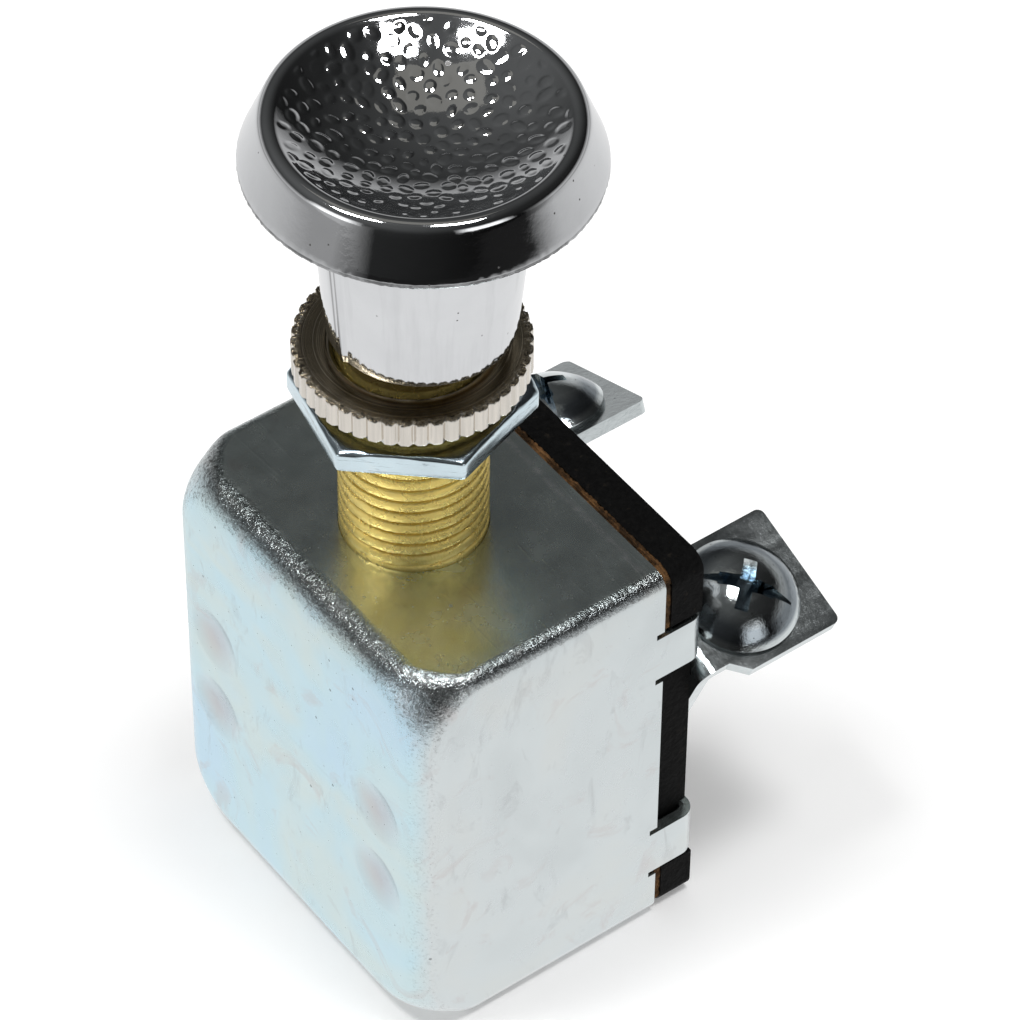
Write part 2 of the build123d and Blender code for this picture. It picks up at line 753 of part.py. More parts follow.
# Contact rivets: head on the terminal's leg, shank through the board, contact face inside
inner_face = -sheet_thickness - board_thickness
rivet_profile = [
    (0, inner_face - contact_head_height),
    (contact_head_diameter / 2 - 0.5 * contact_head_height, inner_face - contact_head_height),
    (contact_head_diameter / 2, inner_face - 0.5 * contact_head_height),
    (contact_head_diameter / 2, inner_face),
    (rivet_shank / 2, inner_face),
    (rivet_shank / 2, terminal_thickness),
    (rivet_head_diameter / 2, terminal_thickness),
    (rivet_head_diameter / 2 - 0.3 * rivet_head_height, terminal_thickness + 0.6 * rivet_head_height),
    (rivet_head_diameter / 4, terminal_thickness + rivet_head_height),
    (0, terminal_thickness + rivet_head_height),
]
with BuildPart() as contact_rivet_left:
    with BuildSketch(Plane(origin=(-rivet_x, board_out, rivet_z), x_dir=(1, 0, 0), z_dir=(0, 0, 1))):
        with BuildLine():
            Polyline(*rivet_profile, close=True)
        make_face()
    revolve(axis=Axis((-rivet_x, board_out, rivet_z), (0, 1, 0)))
contact_rivet_left.part.label = "contact_rivet_left"
export_step(contact_rivet_left.part, "parts/contact_rivet_left.step")

with BuildPart() as contact_rivet_right:
    with BuildSketch(Plane(origin=(rivet_x, board_out, rivet_z), x_dir=(1, 0, 0), z_dir=(0, 0, 1))):
        with BuildLine():
            Polyline(*rivet_profile, close=True)
        make_face()
    revolve(axis=Axis((rivet_x, board_out, rivet_z), (0, 1, 0)))
contact_rivet_right.part.label = "contact_rivet_right"
export_step(contact_rivet_right.part, "parts/contact_rivet_right.step")

# Terminal screw, made once upright: domed head, slot, cross recess and shank
screw_dome = ((screw_head_diameter / 2) ** 2 + (screw_head_height - screw_head_rim) ** 2)
screw_dome = screw_dome / (2 * (screw_head_height - screw_head_rim))
dome_mid = screw_head_diameter / 4
dome_mid_z = screw_head_height - screw_dome + math.sqrt(screw_dome ** 2 - dome_mid ** 2)
with BuildPart() as screw:
    with BuildSketch(Plane.XZ):
        with BuildLine():
            Polyline(
                (0, screw_head_height),
                (0, -screw_length),
                (screw_root_diameter / 2 - screw_tip_chamfer, -screw_length),
                (screw_root_diameter / 2, -screw_length + screw_tip_chamfer),
                (screw_root_diameter / 2, -terminal_thickness),
                (screw_diameter / 2, -terminal_thickness),
                (screw_diameter / 2, 0),
                (screw_head_diameter / 2, 0),
                (screw_head_diameter / 2, screw_head_rim),
            )
            dome_edge = (screw_head_diameter / 2, screw_head_rim)
            ThreePointArc(dome_edge, (dome_mid, dome_mid_z), (0, screw_head_height))
        make_face()
    revolve(axis=Axis.Z)
    with BuildSketch(Plane.XY.offset(screw_head_height - screw_slot_depth)):
        Polygon(
            (screw_slot_width / 2, 0),
            (0, screw_slot_length / 2),
            (-screw_slot_width / 2, 0),
            (0, -screw_slot_length / 2),
            align=None,
        )
    extrude(amount=2 * screw_slot_depth, mode=Mode.SUBTRACT)
    for wing in (Plane.XZ, Plane.YZ):
        with BuildSketch(wing):
            with BuildLine():
                Polyline(
                    (-screw_cross_length / 2, screw_head_height),
                    (screw_cross_length / 2, screw_head_height),
                    (screw_cross_length / 4, screw_head_height - screw_cross_depth),
                    (-screw_cross_length / 4, screw_head_height - screw_cross_depth),
                    close=True,
                )
            make_face()
        extrude(amount=screw_cross_width / 2, both=True, mode=Mode.SUBTRACT)

left_screw_seat = Plane(
    origin=left_tab.from_local_coords((0, screw_reach, 0)),
    x_dir=left_tab.x_dir,
    z_dir=left_tab.z_dir,
)
right_screw_seat = Plane(
    origin=right_tab.from_local_coords((0, screw_reach, 0)),
    x_dir=right_tab.x_dir,
    z_dir=right_tab.z_dir,
)
with BuildPart() as terminal_screw_left:
    with Locations(left_screw_seat * Rot(0, 0, left_screw_turn)):
        add(screw.part)
terminal_screw_left.part.label = "terminal_screw_left"
export_step(terminal_screw_left.part, "parts/terminal_screw_left.step")

with BuildPart() as terminal_screw_right:
    with Locations(right_screw_seat * Rot(0, 0, right_screw_turn)):
        add(screw.part)
terminal_screw_right.part.label = "terminal_screw_right"
export_step(terminal_screw_right.part, "parts/terminal_screw_right.step")
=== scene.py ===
import json
import math

import bpy
import numpy as np
from mathutils import Matrix, Vector


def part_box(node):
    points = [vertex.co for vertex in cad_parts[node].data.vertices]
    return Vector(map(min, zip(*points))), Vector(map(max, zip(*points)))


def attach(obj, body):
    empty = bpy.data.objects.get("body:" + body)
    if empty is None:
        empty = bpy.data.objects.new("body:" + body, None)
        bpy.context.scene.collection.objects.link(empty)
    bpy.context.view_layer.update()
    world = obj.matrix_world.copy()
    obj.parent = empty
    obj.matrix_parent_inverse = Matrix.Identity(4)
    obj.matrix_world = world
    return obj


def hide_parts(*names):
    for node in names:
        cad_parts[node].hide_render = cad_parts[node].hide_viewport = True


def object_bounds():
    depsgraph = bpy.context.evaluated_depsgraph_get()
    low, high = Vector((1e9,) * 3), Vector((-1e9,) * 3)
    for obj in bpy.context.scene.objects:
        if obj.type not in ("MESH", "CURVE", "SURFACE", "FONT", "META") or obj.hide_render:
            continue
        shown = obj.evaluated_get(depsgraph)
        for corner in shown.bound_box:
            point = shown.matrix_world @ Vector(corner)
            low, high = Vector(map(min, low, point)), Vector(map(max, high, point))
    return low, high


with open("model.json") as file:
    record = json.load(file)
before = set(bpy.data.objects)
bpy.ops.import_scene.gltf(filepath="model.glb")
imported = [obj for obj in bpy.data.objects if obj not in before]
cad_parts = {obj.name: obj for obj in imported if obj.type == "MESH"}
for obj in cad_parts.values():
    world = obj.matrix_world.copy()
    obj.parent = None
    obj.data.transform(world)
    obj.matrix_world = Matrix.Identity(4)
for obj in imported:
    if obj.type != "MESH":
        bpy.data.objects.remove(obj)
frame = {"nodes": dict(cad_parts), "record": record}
CAD_BOX = [list(corner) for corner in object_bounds()]
MM = 0.001
HAIR = 1e-7

bl_info = {
    "name": "Push-Pull Panel Switch",
    "version": (1, 0, 0),
    "blender": (4, 5, 0),
    "location": "3D View > Sidebar > Switch",
    "description": "Threads, pebbled knob, plated finishes and a studio for a push-pull panel switch",
    "category": "Object",
}


# Sizes and colours a user would change

class SwitchSizes(bpy.types.PropertyGroup):
    """Sizes of the surfaces that are added to the solids, in metres."""

    thread_pitch: bpy.props.FloatProperty(
        name="Stem Thread Pitch", description="Climb of the stem's thread in one turn",
        default=1.27 * MM, unit="LENGTH")
    thread_depth: bpy.props.FloatProperty(
        name="Stem Thread Depth", description="Depth from the stem's crests to its roots",
        default=0.45 * MM, unit="LENGTH")
    screw_pitch: bpy.props.FloatProperty(
        name="Screw Thread Pitch", description="Climb of a terminal screw's thread in one turn",
        default=0.794 * MM, unit="LENGTH")
    pebble_count: bpy.props.IntProperty(
        name="Pebbles", description="Raised pebbles in the knob's dish", default=205, min=10)
    pebble_radius: bpy.props.FloatProperty(
        name="Pebble Radius", description="Mean radius of one pebble", default=0.56 * MM, unit="LENGTH")
    pebble_height: bpy.props.FloatProperty(
        name="Pebble Height", description="Mean height of one pebble", default=0.075 * MM, unit="LENGTH")
    lean_angle: bpy.props.FloatProperty(
        name="Plunger Lean", description="Tilt of the plunger in its loose bore",
        default=math.radians(0.88), subtype="ANGLE")
    lean_heading: bpy.props.FloatProperty(
        name="Lean Heading", description="Way the plunger tilts, turned from +X",
        default=math.radians(53.2), subtype="ANGLE")
    lean_pivot: bpy.props.FloatProperty(
        name="Lean Pivot", description="Height on the Z axis that the plunger tilts about",
        default=-26.0 * MM, unit="LENGTH")


class SwitchColours(bpy.types.PropertyGroup):
    """Base colours of the finishes."""

    zinc: bpy.props.FloatVectorProperty(
        name="Zinc", description="Clear zinc plating of the case", subtype="COLOR", size=3,
        default=(0.70, 0.75, 0.76))
    brass: bpy.props.FloatVectorProperty(
        name="Brass", description="Machined brass of the stem", subtype="COLOR", size=3,
        default=(0.98, 0.75, 0.22))
    nickel: bpy.props.FloatVectorProperty(
        name="Nickel", description="Warm nickel plating of the ring nut", subtype="COLOR", size=3,
        default=(0.72, 0.68, 0.62))
    chrome: bpy.props.FloatVectorProperty(
        name="Chrome", description="Bright plating of the knob", subtype="COLOR", size=3,
        default=(0.72, 0.73, 0.745))
    board: bpy.props.FloatVectorProperty(
        name="Board", description="Black moulded terminal board", subtype="COLOR", size=3,
        default=(0.004, 0.004, 0.004))
    fibre: bpy.props.FloatVectorProperty(
        name="Fibre", description="Brown fibre sheet behind the board", subtype="COLOR", size=3,
        default=(0.17, 0.085, 0.032))
    floor: bpy.props.FloatVectorProperty(
        name="Floor", description="Pale studio floor", subtype="COLOR", size=3,
        default=(0.88, 0.88, 0.88))


# Places and headings that several pieces, finishes and lamps go by

SEAM_HEADINGS = (math.radians(-87), math.radians(93))
SCREW_SEAT_TO_BALL, SCREW_BALL = 4.082 * MM, 7.082 * MM
DENT_X, DENT_Z = 12.0 * MM, (-17.9 * MM, -26.6 * MM)
CREASE_Y = 11.5 * MM
SKIRT_TOP = 41.16 * MM
PICTURE_RIGHT = (0.6, 0.8, 0.0)
ROOM_HEADING = (0.946, -0.324, 0.0)
PANEL_HEADINGS = (math.radians(2), math.radians(-92))


def lean_axis(sizes):
    """The plunger's axis: up, tilted by a small angle toward one heading."""
    angle, heading = sizes.lean_angle, sizes.lean_heading
    return math.sin(angle) * math.cos(heading), math.sin(angle) * math.sin(heading), math.cos(angle)


# Meshes from grids

def piece_from_grid(name, points, close_u=True, close_v=False, pole_start=None, pole_end=None):
    """Makes an object from a grid of points shaped (v, u, 3): quads join each row to the next,
    u closes on itself, and a pole is one more point that a fan joins to the first or last row."""
    rows, cols, _ = points.shape
    verts = points.reshape(-1, 3)
    index = np.arange(rows * cols).reshape(rows, cols)
    right = np.roll(index, -1, axis=1) if close_u else index[:, 1:]
    left = index if close_u else index[:, :-1]
    if close_v:
        low_l, low_r, up_l, up_r = left, right, np.roll(left, -1, axis=0), np.roll(right, -1, axis=0)
    else:
        low_l, low_r, up_l, up_r = left[:-1], right[:-1], left[1:], right[1:]
    faces = np.stack([low_l, low_r, up_r, up_l], axis=-1).reshape(-1, 4).tolist()
    for pole, row, flip in ((pole_start, 0, True), (pole_end, -1, False)):
        if pole is None:
            continue
        verts = np.vstack([verts, pole])
        top = np.full(cols, len(verts) - 1)
        fan = np.stack([index[row], np.roll(index[row], -1), top], axis=-1)
        faces += (fan[:, ::-1] if flip else fan).tolist()
    mesh = bpy.data.meshes.new(name)
    mesh.from_pydata(verts.tolist(), [], faces)
    mesh.shade_smooth()
    mesh.validate()
    piece = bpy.data.objects.new(name, mesh)
    bpy.context.scene.collection.objects.link(piece)
    return piece


def along(points, step, corner=0.0):
    """A profile of (r, z) corners sampled about every step; each inner corner is rounded by
    swapping it for a short quadratic curve that starts and ends corner away from it."""
    points = [np.array(p, dtype=float) for p in points]
    runs = []
    for k, here in enumerate(points):
        if corner and 0 < k < len(points) - 1:
            before, after = points[k - 1] - here, points[k + 1] - here
            cut = min(corner, 0.4 * np.linalg.norm(before), 0.4 * np.linalg.norm(after))
            a, b = (here + arm / np.linalg.norm(arm) * cut for arm in (before, after))
            t = np.linspace(0, 1, 5)[:, None]
            runs.append((1 - t) ** 2 * a + 2 * t * (1 - t) * here + t ** 2 * b)
        else:
            runs.append(here[None, :])
    out = [runs[0]]
    for start, run in zip(runs[:-1], runs[1:]):
        gap = np.linalg.norm(run[0] - start[-1])
        n = max(int(math.ceil(gap / step)), 1)
        t = np.linspace(0, 1, n + 1)[1:-1, None]
        out.append(start[-1] + t * (run[0] - start[-1]))
        out.append(run)
    return np.concatenate(out)


def turned(profile, count):
    """Points of a profile carried round the Z axis: (r cos a, r sin a, z) for count even angles."""
    angle = np.arange(count) * 2 * np.pi / count
    r, z = profile[:, :1], profile[:, 1:]
    return np.stack([r * np.cos(angle), r * np.sin(angle), z + 0 * angle], axis=-1)


def polar(grid):
    """The radius, angle and height of each point of a grid."""
    return np.hypot(grid[..., 0], grid[..., 1]), np.arctan2(grid[..., 1], grid[..., 0]), grid[..., 2]


def rise(value, length):
    """A ramp: 0 up to 0, and 1 from length on."""
    return np.clip(value / length, 0, 1)


def off_crest(z, angle, pitch):
    """Distance from a thread's crest: w = 2 |t - round(t)| of t = z / pitch - a / 2 pi, 0 to 1."""
    turn = z / pitch - angle / (2 * np.pi)
    return np.abs(turn - np.round(turn)) * 2


def wander(t, seed, band, count):
    """A wavering value of about -1.5 to 1.5: a sum of count sines of t with whole frequencies in a band."""
    rng = np.random.default_rng(seed)
    total = np.zeros_like(t)
    for rate, phase in zip(rng.integers(*band, count), rng.uniform(0, 2 * np.pi, count)):
        total += np.sin(rate * t + phase)
    return total / math.sqrt(count / 2)


# Pieces

def threaded_stem(sizes):
    """Brass stem. Its wall follows r = R - depth * g(w), where w is the distance from a crest, 0 to 1, and
    g is a worn crest 0.42 w ** 2 with a narrow root; the thread fades out at the case and the chamfer."""
    low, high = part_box("mounting_bushing")
    flange, under, top = high.x, low.z, high.z
    bore, radius, least_wall = 3.325 * MM, 6.35 * MM, 0.5 * MM
    seat, thread_low, chamfer = -1.0 * MM, 0.3 * MM, 0.45 * MM
    fade_low, fade = 0.35 * MM, 0.5 * MM
    loop = [
        (bore, top), (bore, under), (flange, under), (flange, seat), (radius, seat),
        (radius, thread_low), (radius, top - chamfer), (radius - chamfer, top), (bore, top),
    ]
    inside, wall = along(loop[:6], 0.6 * MM), along(loop[5:7], sizes.thread_pitch / 20)
    end = along(loop[6:], 0.15 * MM)
    grid = turned(np.concatenate([inside, wall[1:], end[1:-1]]), 150)
    r, angle, z = polar(grid)
    wave = off_crest(z, angle, sizes.thread_pitch)
    groove = 0.42 * wave ** 2 + 0.58 * rise(wave - 0.76, 0.20)
    on_wall = (r > radius - chamfer - HAIR) & (z > 0)
    cut = groove * (rise(z - fade_low, fade) * rise(top - z, fade)) * sizes.thread_depth
    cut = np.where(on_wall & (r < radius + HAIR), cut, 0)
    # the chamfer takes away what lies outside its own cone
    new_r = np.minimum(r, np.maximum(radius - cut, bore + least_wall))
    grid[..., :2] *= np.where(on_wall, new_r / r, 1.0)[..., None]
    return piece_from_grid("stem", grid, close_v=True)


def pebble_field(x, y, sizes, reach):
    """Height of the raised pebbles at (x, y): seeds lie on a golden-angle spiral with a small jitter, and
    each is a stretched, flat-topped cap h * (1 - (d / p) ** 4) where that is positive; the highest wins."""
    blocks = 24
    rng = np.random.default_rng(7)
    k = np.arange(sizes.pebble_count)
    seed_r = reach * np.sqrt((k + 0.5) / sizes.pebble_count)
    seed_a = k * math.pi * (3 - math.sqrt(5))
    jitter = rng.normal(0, 0.15 * MM, (2, len(k)))
    sx = seed_r * np.cos(seed_a) + jitter[0]
    sy = seed_r * np.sin(seed_a) + jitter[1]
    p = sizes.pebble_radius * rng.uniform(0.66, 1.2, len(k))
    h = sizes.pebble_height * rng.uniform(0.45, 1.35, len(k))
    stretch = rng.uniform(0.8, 1.25, len(k))
    lean = rng.uniform(0, np.pi, len(k))
    best = np.zeros_like(x)
    for rows in np.array_split(np.arange(len(x)), blocks):
        dx = x[rows][..., None] - sx
        dy = y[rows][..., None] - sy
        u = (dx * np.cos(lean) + dy * np.sin(lean)) / stretch
        v = (-dx * np.sin(lean) + dy * np.cos(lean)) * stretch
        best[rows] = np.max(h * np.clip(1 - ((u * u + v * v) / (p * p)) ** 2, 0, None), axis=-1)
    return best


def leaned(grid, sizes):
    """Points turned with the plunger: a small lean toward one heading about a pivot on the Z axis."""
    up = np.array(lean_axis(sizes))
    side = np.array([1.0, 0, 0]) - up * up[0]
    side /= np.linalg.norm(side)
    turn = np.stack([side, np.cross(up, side), up], axis=1)
    pivot = np.array([0, 0, sizes.lean_pivot])
    return (grid - pivot) @ turn.T + pivot


def mushroom_knob(sizes):
    """Knob. A turned profile: socket, hub, flared underside, skirt, cone, a rim that is an arc tangent to the
    cone, and a spherical dish, with the pebbles added along Z inside the dish, a mould seam
    r = R + s * exp(-(d / w) ** 4) on the hub and a skirt edge that wanders by a sum of sines."""
    top, bottom = 45.55 * MM, 23.15 * MM
    hub_low, hub_high, hub_top, flare = 7.88 * MM, 8.98 * MM, 37.6 * MM, 2.0 * MM
    skirt, skirt_low, skirt_high = 14.69 * MM, 40.75 * MM, 41.05 * MM
    crown, roll, depth = 12.84 * MM, 1.0 * MM, 3.6 * MM
    socket, blind, mouth, step = 4.65 * MM, 36.4 * MM, 5.85 * MM, 1.0 * MM
    seam_high, seam_half, nick, band, waves = 0.26 * MM, 0.36 * MM, 0.018 * MM, (17, 190), 14
    slope = math.atan2(skirt - crown, top - skirt_high)
    reach = (top - roll + roll * math.sin(slope) - skirt_high) * math.tan(slope)
    middle = skirt - reach - roll * math.cos(slope)
    turn = np.linspace(slope, math.radians(123), 12)
    rim = np.stack([middle + roll * np.cos(turn), top - roll + roll * np.sin(turn)], axis=1)
    dish, lip = rim[-1]
    deep = lip - (top - depth)
    sphere = (dish ** 2 + deep ** 2) / (2 * deep)
    ledge = bottom + step
    hole = [(0.6 * MM, blind), (socket, blind), (socket, ledge), (mouth, ledge), (mouth, bottom)]
    hub = along([hole[-1], (hub_low, bottom), (hub_high, hub_top)], 0.8 * MM, 0.3 * MM)[1:]
    hub = hub[hub[:, 1] < hub_top - flare - 0.1 * MM]
    tilt = (hub_high - hub_low) / (hub_top - bottom)
    throat = (hub_high - flare * tilt, hub_top - flare)
    under = along([throat, (hub_high, hub_top), (skirt, skirt_low)], 0.5 * MM, flare)
    edge = along([(skirt, skirt_low), (skirt, skirt_high), tuple(rim[0])], 0.45 * MM, 0.12 * MM)[1:-1]
    fall = np.linspace(math.asin(dish / sphere), 0.012, 86)[1:]
    bowl = np.stack([sphere * np.sin(fall), top - depth + sphere * (1 - np.cos(fall))], axis=1)
    grid = turned(np.concatenate([along(hole, 2.0 * MM), hub, under, edge, rim, bowl]), 480)
    first = len(grid) - len(bowl)
    x, y = grid[first:, :, 0], grid[first:, :, 1]
    inner = rise(dish - 0.15 * MM - np.hypot(x, y), 0.25 * MM)
    grid[first:, :, 2] += pebble_field(x, y, sizes, dish - 0.1 * MM) * inner
    r, a, z = polar(grid)
    on_hub = np.abs(r - hub_low - (z - bottom) * tilt) < 0.3 * MM
    on_hub &= (z < hub_top - 1.5 * MM) & (z > bottom + 0.2 * MM)
    seam = np.zeros_like(r)
    for at in SEAM_HEADINGS:
        off = (a - at + np.pi) % (2 * np.pi) - np.pi
        seam += seam_high * np.exp(-(off * hub_high / seam_half) ** 4)
    seam = np.where(on_hub, seam, 0)
    near = np.exp(-((z - skirt_low) / (0.3 * MM)) ** 2) * rise(r - skirt + 0.5 * MM, 0.5 * MM)
    near[first:] = 0
    nicks = nick * (wander(a, 5, band, waves) + 1.5) * near
    grid[..., :2] *= (1 + (seam - nicks) / np.maximum(r, 1e-6))[..., None]
    grid[..., 2] += 0.016 * MM * wander(a, 6, band, waves) * near
    nought = np.zeros((1, 1))
    centre = np.array([0, 0, top - depth + pebble_field(nought, nought, sizes, dish)[0, 0]])
    start = np.array([0, 0, blind])
    return piece_from_grid("mushroom_knob", leaned(grid, sizes),
                           pole_start=leaned(start, sizes), pole_end=leaned(centre, sizes))


def nut_grid(angle, rows):
    """Points of a nut from rows of (radius, height), each a number or one value for every angle."""
    radius = np.stack([np.broadcast_to(r, angle.shape) for r, z in rows])
    height = np.stack([np.broadcast_to(z, angle.shape) for r, z in rows])
    return np.stack([radius * np.cos(angle), radius * np.sin(angle), height], axis=-1)


def hexagon_nut():
    """Hexagon nut. Its outline is r = A / (sum of max(cos(a - n), 0) ** p) ** (1 / p) over the six flats'
    headings n, which rounds the corners; the top edge is an arc on a cone, so that the corners drop."""
    low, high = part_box("hex_nut")
    bottom, top = low.z, high.z
    flat, bore, lead, face = 9.05 * MM, 6.4 * MM, 0.4 * MM, 8.6 * MM
    bevel, slope, power = 0.26 * MM, 0.235, 70
    heading = math.radians(-12.05)
    coarse = np.arange(360) * 2 * np.pi / 360
    corners = (np.arange(6)[:, None] * 60 + np.linspace(-2.4, 2.4, 17)[None, :]).ravel()
    fine = heading + corners * np.pi / 180
    angle = np.unique(np.round(np.concatenate([coarse, fine % (2 * np.pi)]), 5))
    normals = heading + math.radians(30) + np.arange(6) * math.radians(60)
    facing = np.clip(np.cos(angle[:, None] - normals), 0, None)
    edge = flat / (facing ** power).sum(axis=1) ** (1 / power)
    worn = 1 + 0.25 * wander(angle, 11, (5, 40), 8)
    size = bevel * np.clip(worn, 0.5, 1.6)

    def drop(r):
        return top - np.clip(r - (flat - 0.1 * MM), 0, None) * slope

    side_low, side_top = bottom + bevel, drop(edge) - size
    rows = [(bore + lead, bottom), (edge - bevel, bottom)]
    for t in np.radians([30, 60, 90]):
        rows.append((edge - bevel + bevel * math.sin(t), side_low - bevel * math.cos(t)))
    for share in (0.35, 0.7, 1.0):
        rows.append((edge, side_low + share * (side_top - side_low)))
    for t in np.radians([22, 45, 67]):
        rows.append((edge - size + size * math.cos(t), side_top + size * math.sin(t)))
    for share in (0, 0.3, 0.65, 1.0):
        r = edge - size - share * (edge - size - face)
        rows.append((r, drop(r)))
    rows += [(bore + lead, top), (bore, top - lead), (bore, bottom + lead)]
    return piece_from_grid("hexagon_nut", nut_grid(angle, rows), close_v=True)


def knurled_nut():
    """Ring nut. Every tooth of its outline is a flat land and a V groove, r = R - depth *
    max(1 - d / half, 0) at a distance d from a groove's middle; the burr along its upper edge wanders."""
    low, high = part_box("ring_nut")
    bottom, top = low.z, high.z
    teeth, crown, depth, bore, groove_half = 46, 9.88 * MM, 0.30 * MM, 6.42 * MM, 0.27
    share = np.array([-0.5, -0.44, -0.37, -0.3, -0.23, -0.1, 0.0, 0.1, 0.23, 0.3, 0.37, 0.44])
    angle = ((np.arange(teeth)[:, None] + share[None, :]) * 2 * np.pi / teeth).ravel()
    across = np.tile(np.abs(np.abs(share) - 0.5), teeth)
    chord = np.cos(np.tile(share, teeth) * 2 * np.pi / teeth)
    rng = np.random.default_rng(4)
    tall = np.repeat(rng.uniform(-0.03, 0.03, teeth), len(share)) * MM
    edge = (crown + tall) * (1 / chord) ** 0.5 - depth * np.clip(1 - across / groove_half, 0, 1)
    rough = np.clip(0.10 + 0.07 * wander(angle, 21, (60, 320), 18), 0.02, 0.3) * MM
    sunk = np.clip(0.03 + 0.05 * wander(angle, 22, (90, 330), 18), 0.0, 0.16) * MM
    rows = [(bore, bottom), (edge - 0.1 * MM, bottom), (edge - 0.03 * MM, bottom)]
    rows += [(edge, bottom + 0.03 * MM), (edge, bottom + 0.09 * MM)]
    rows += [(edge, bottom + part * (top - bottom)) for part in (0.35, 0.65, 0.86)]
    rows += [(edge, top - rough), (edge - 0.4 * rough, top - 0.3 * rough - sunk)]
    rows += [(edge - rough - 0.1 * MM, top - sunk), (9.35 * MM, top - 0.4 * sunk)]
    rows += [(ring * MM, top) for ring in (9.1, 8.4, 7.6, 6.98)]
    rows += [(6.9 * MM, top - 0.06 * MM), (bore + 0.02 * MM, top - 0.55 * MM), (bore, top - 0.7 * MM)]
    return piece_from_grid("knurled_nut", nut_grid(angle, rows), close_v=True)


def fibre_sheet():
    """Fibre sheet. At each height z its section is a thin rectangle x = +-w(z), y from face to face; w rounds
    off at the corners and steps in beside the tabs, and all the cut edges fray by sums of sines."""
    low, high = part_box("insulator_sheet")
    half, corner, notch = high.x, 1.6 * MM, 16.8 * MM
    steps = np.array([-37.9, -6.6]) * MM
    step_run, trim, ply, count = 5e-6, 0.06 * MM, (3, 60), 22
    z = np.sort(np.concatenate([
        np.linspace(low.z, low.z + corner, 14), np.linspace(low.z + corner, high.z - corner, 150)[1:-1],
        np.linspace(high.z - corner, high.z, 14), steps - step_run, steps + step_run]))
    inset = np.clip(np.maximum(low.z + corner - z, z - high.z + corner), 0, corner)
    width = half - corner + np.sqrt(np.clip(corner ** 2 - inset ** 2, 0, None))
    width = np.where((z > steps[0]) & (z < steps[1]), notch, width)[:, None]
    face = np.linspace(-1, 1, 150)
    thick = np.array([0.25, 0.5, 0.75])
    across = np.concatenate([face, np.ones(3), face[::-1], -np.ones(3)])
    deep = np.concatenate([np.zeros(150), thick, np.ones(150), 1 - thick])
    y = low.y + deep * (high.y - low.y)
    fray = 0.10 * MM * wander(z[:, None] * 260 + deep[None, :] * 2.2, 31, ply, count)
    x = across[None, :] * (width - trim - np.abs(fray) * (np.abs(across) > 0.985)[None, :])
    ends = np.clip(1 - np.minimum(z - low.z, high.z - z) / (0.4 * MM), 0, 1)[:, None]
    ends = ends * np.sign(z - 0.5 * (low.z + high.z))[:, None]
    torn = 0.10 * MM * np.abs(wander(x * 260 + deep[None, :] * 2.6, 33, ply, count))
    grid = np.stack([x, np.broadcast_to(y, x.shape), z[:, None] - ends * torn], axis=-1)
    middle = 0.5 * (low.y + high.y)
    caps = []
    for row in (grid[0], grid[-1]):
        inner = row.copy()
        inner[:, 1] = middle + (row[:, 1] - middle) * 0.45
        inner[:, 2] += 0.07 * MM * wander(row[:, 0] * 300, 35, ply, count)
        caps.append(inner[None])
    grid = np.concatenate([caps[0], grid, caps[1]])
    grid[..., 2] = np.clip(grid[..., 2], low.z, high.z)
    return piece_from_grid("fibre_sheet", grid,
                           pole_start=grid[0].mean(axis=0), pole_end=grid[-1].mean(axis=0))


def screw_thread(name, seat, axis, sizes):
    """Thread of a terminal screw below its tab: a sleeve whose wall is r = root + (crest - root) * g, where g
    is a clipped triangle wave of z / pitch - a / 2 pi, turned from Z to the screw's axis, at its seat."""
    crest, root, skin = 2.415 * MM, 1.9 * MM, 0.02 * MM
    start, end, inside = -1.25 * MM, -7.1 * MM, root - 0.03 * MM
    loop = [(root, start), (crest, start - 0.05 * MM), (crest, end + 0.3 * MM), (root, end)]
    grid = turned(along(loop, sizes.screw_pitch / 12), 64)
    r, angle, z = polar(grid)
    ridge = rise(1 - off_crest(z, angle, sizes.screw_pitch) - 0.12, 0.76)
    fade = rise(z - end, 0.6 * MM) * rise(start - z, 0.4 * MM)
    target = root + skin + (crest - root - skin) * ridge * fade
    grid[..., :2] *= np.where(r > root + HAIR, target / r, 1.0)[..., None]
    grid = np.concatenate([grid, turned(np.array([(inside, end), (inside, start)]), 64)])
    turn_to = np.array(Vector((0, 0, 1)).rotation_difference(Vector(axis).normalized()).to_matrix())
    placed = grid @ turn_to.T + np.array(seat)
    return piece_from_grid(name, placed[::-1], close_v=True)


# Finishes

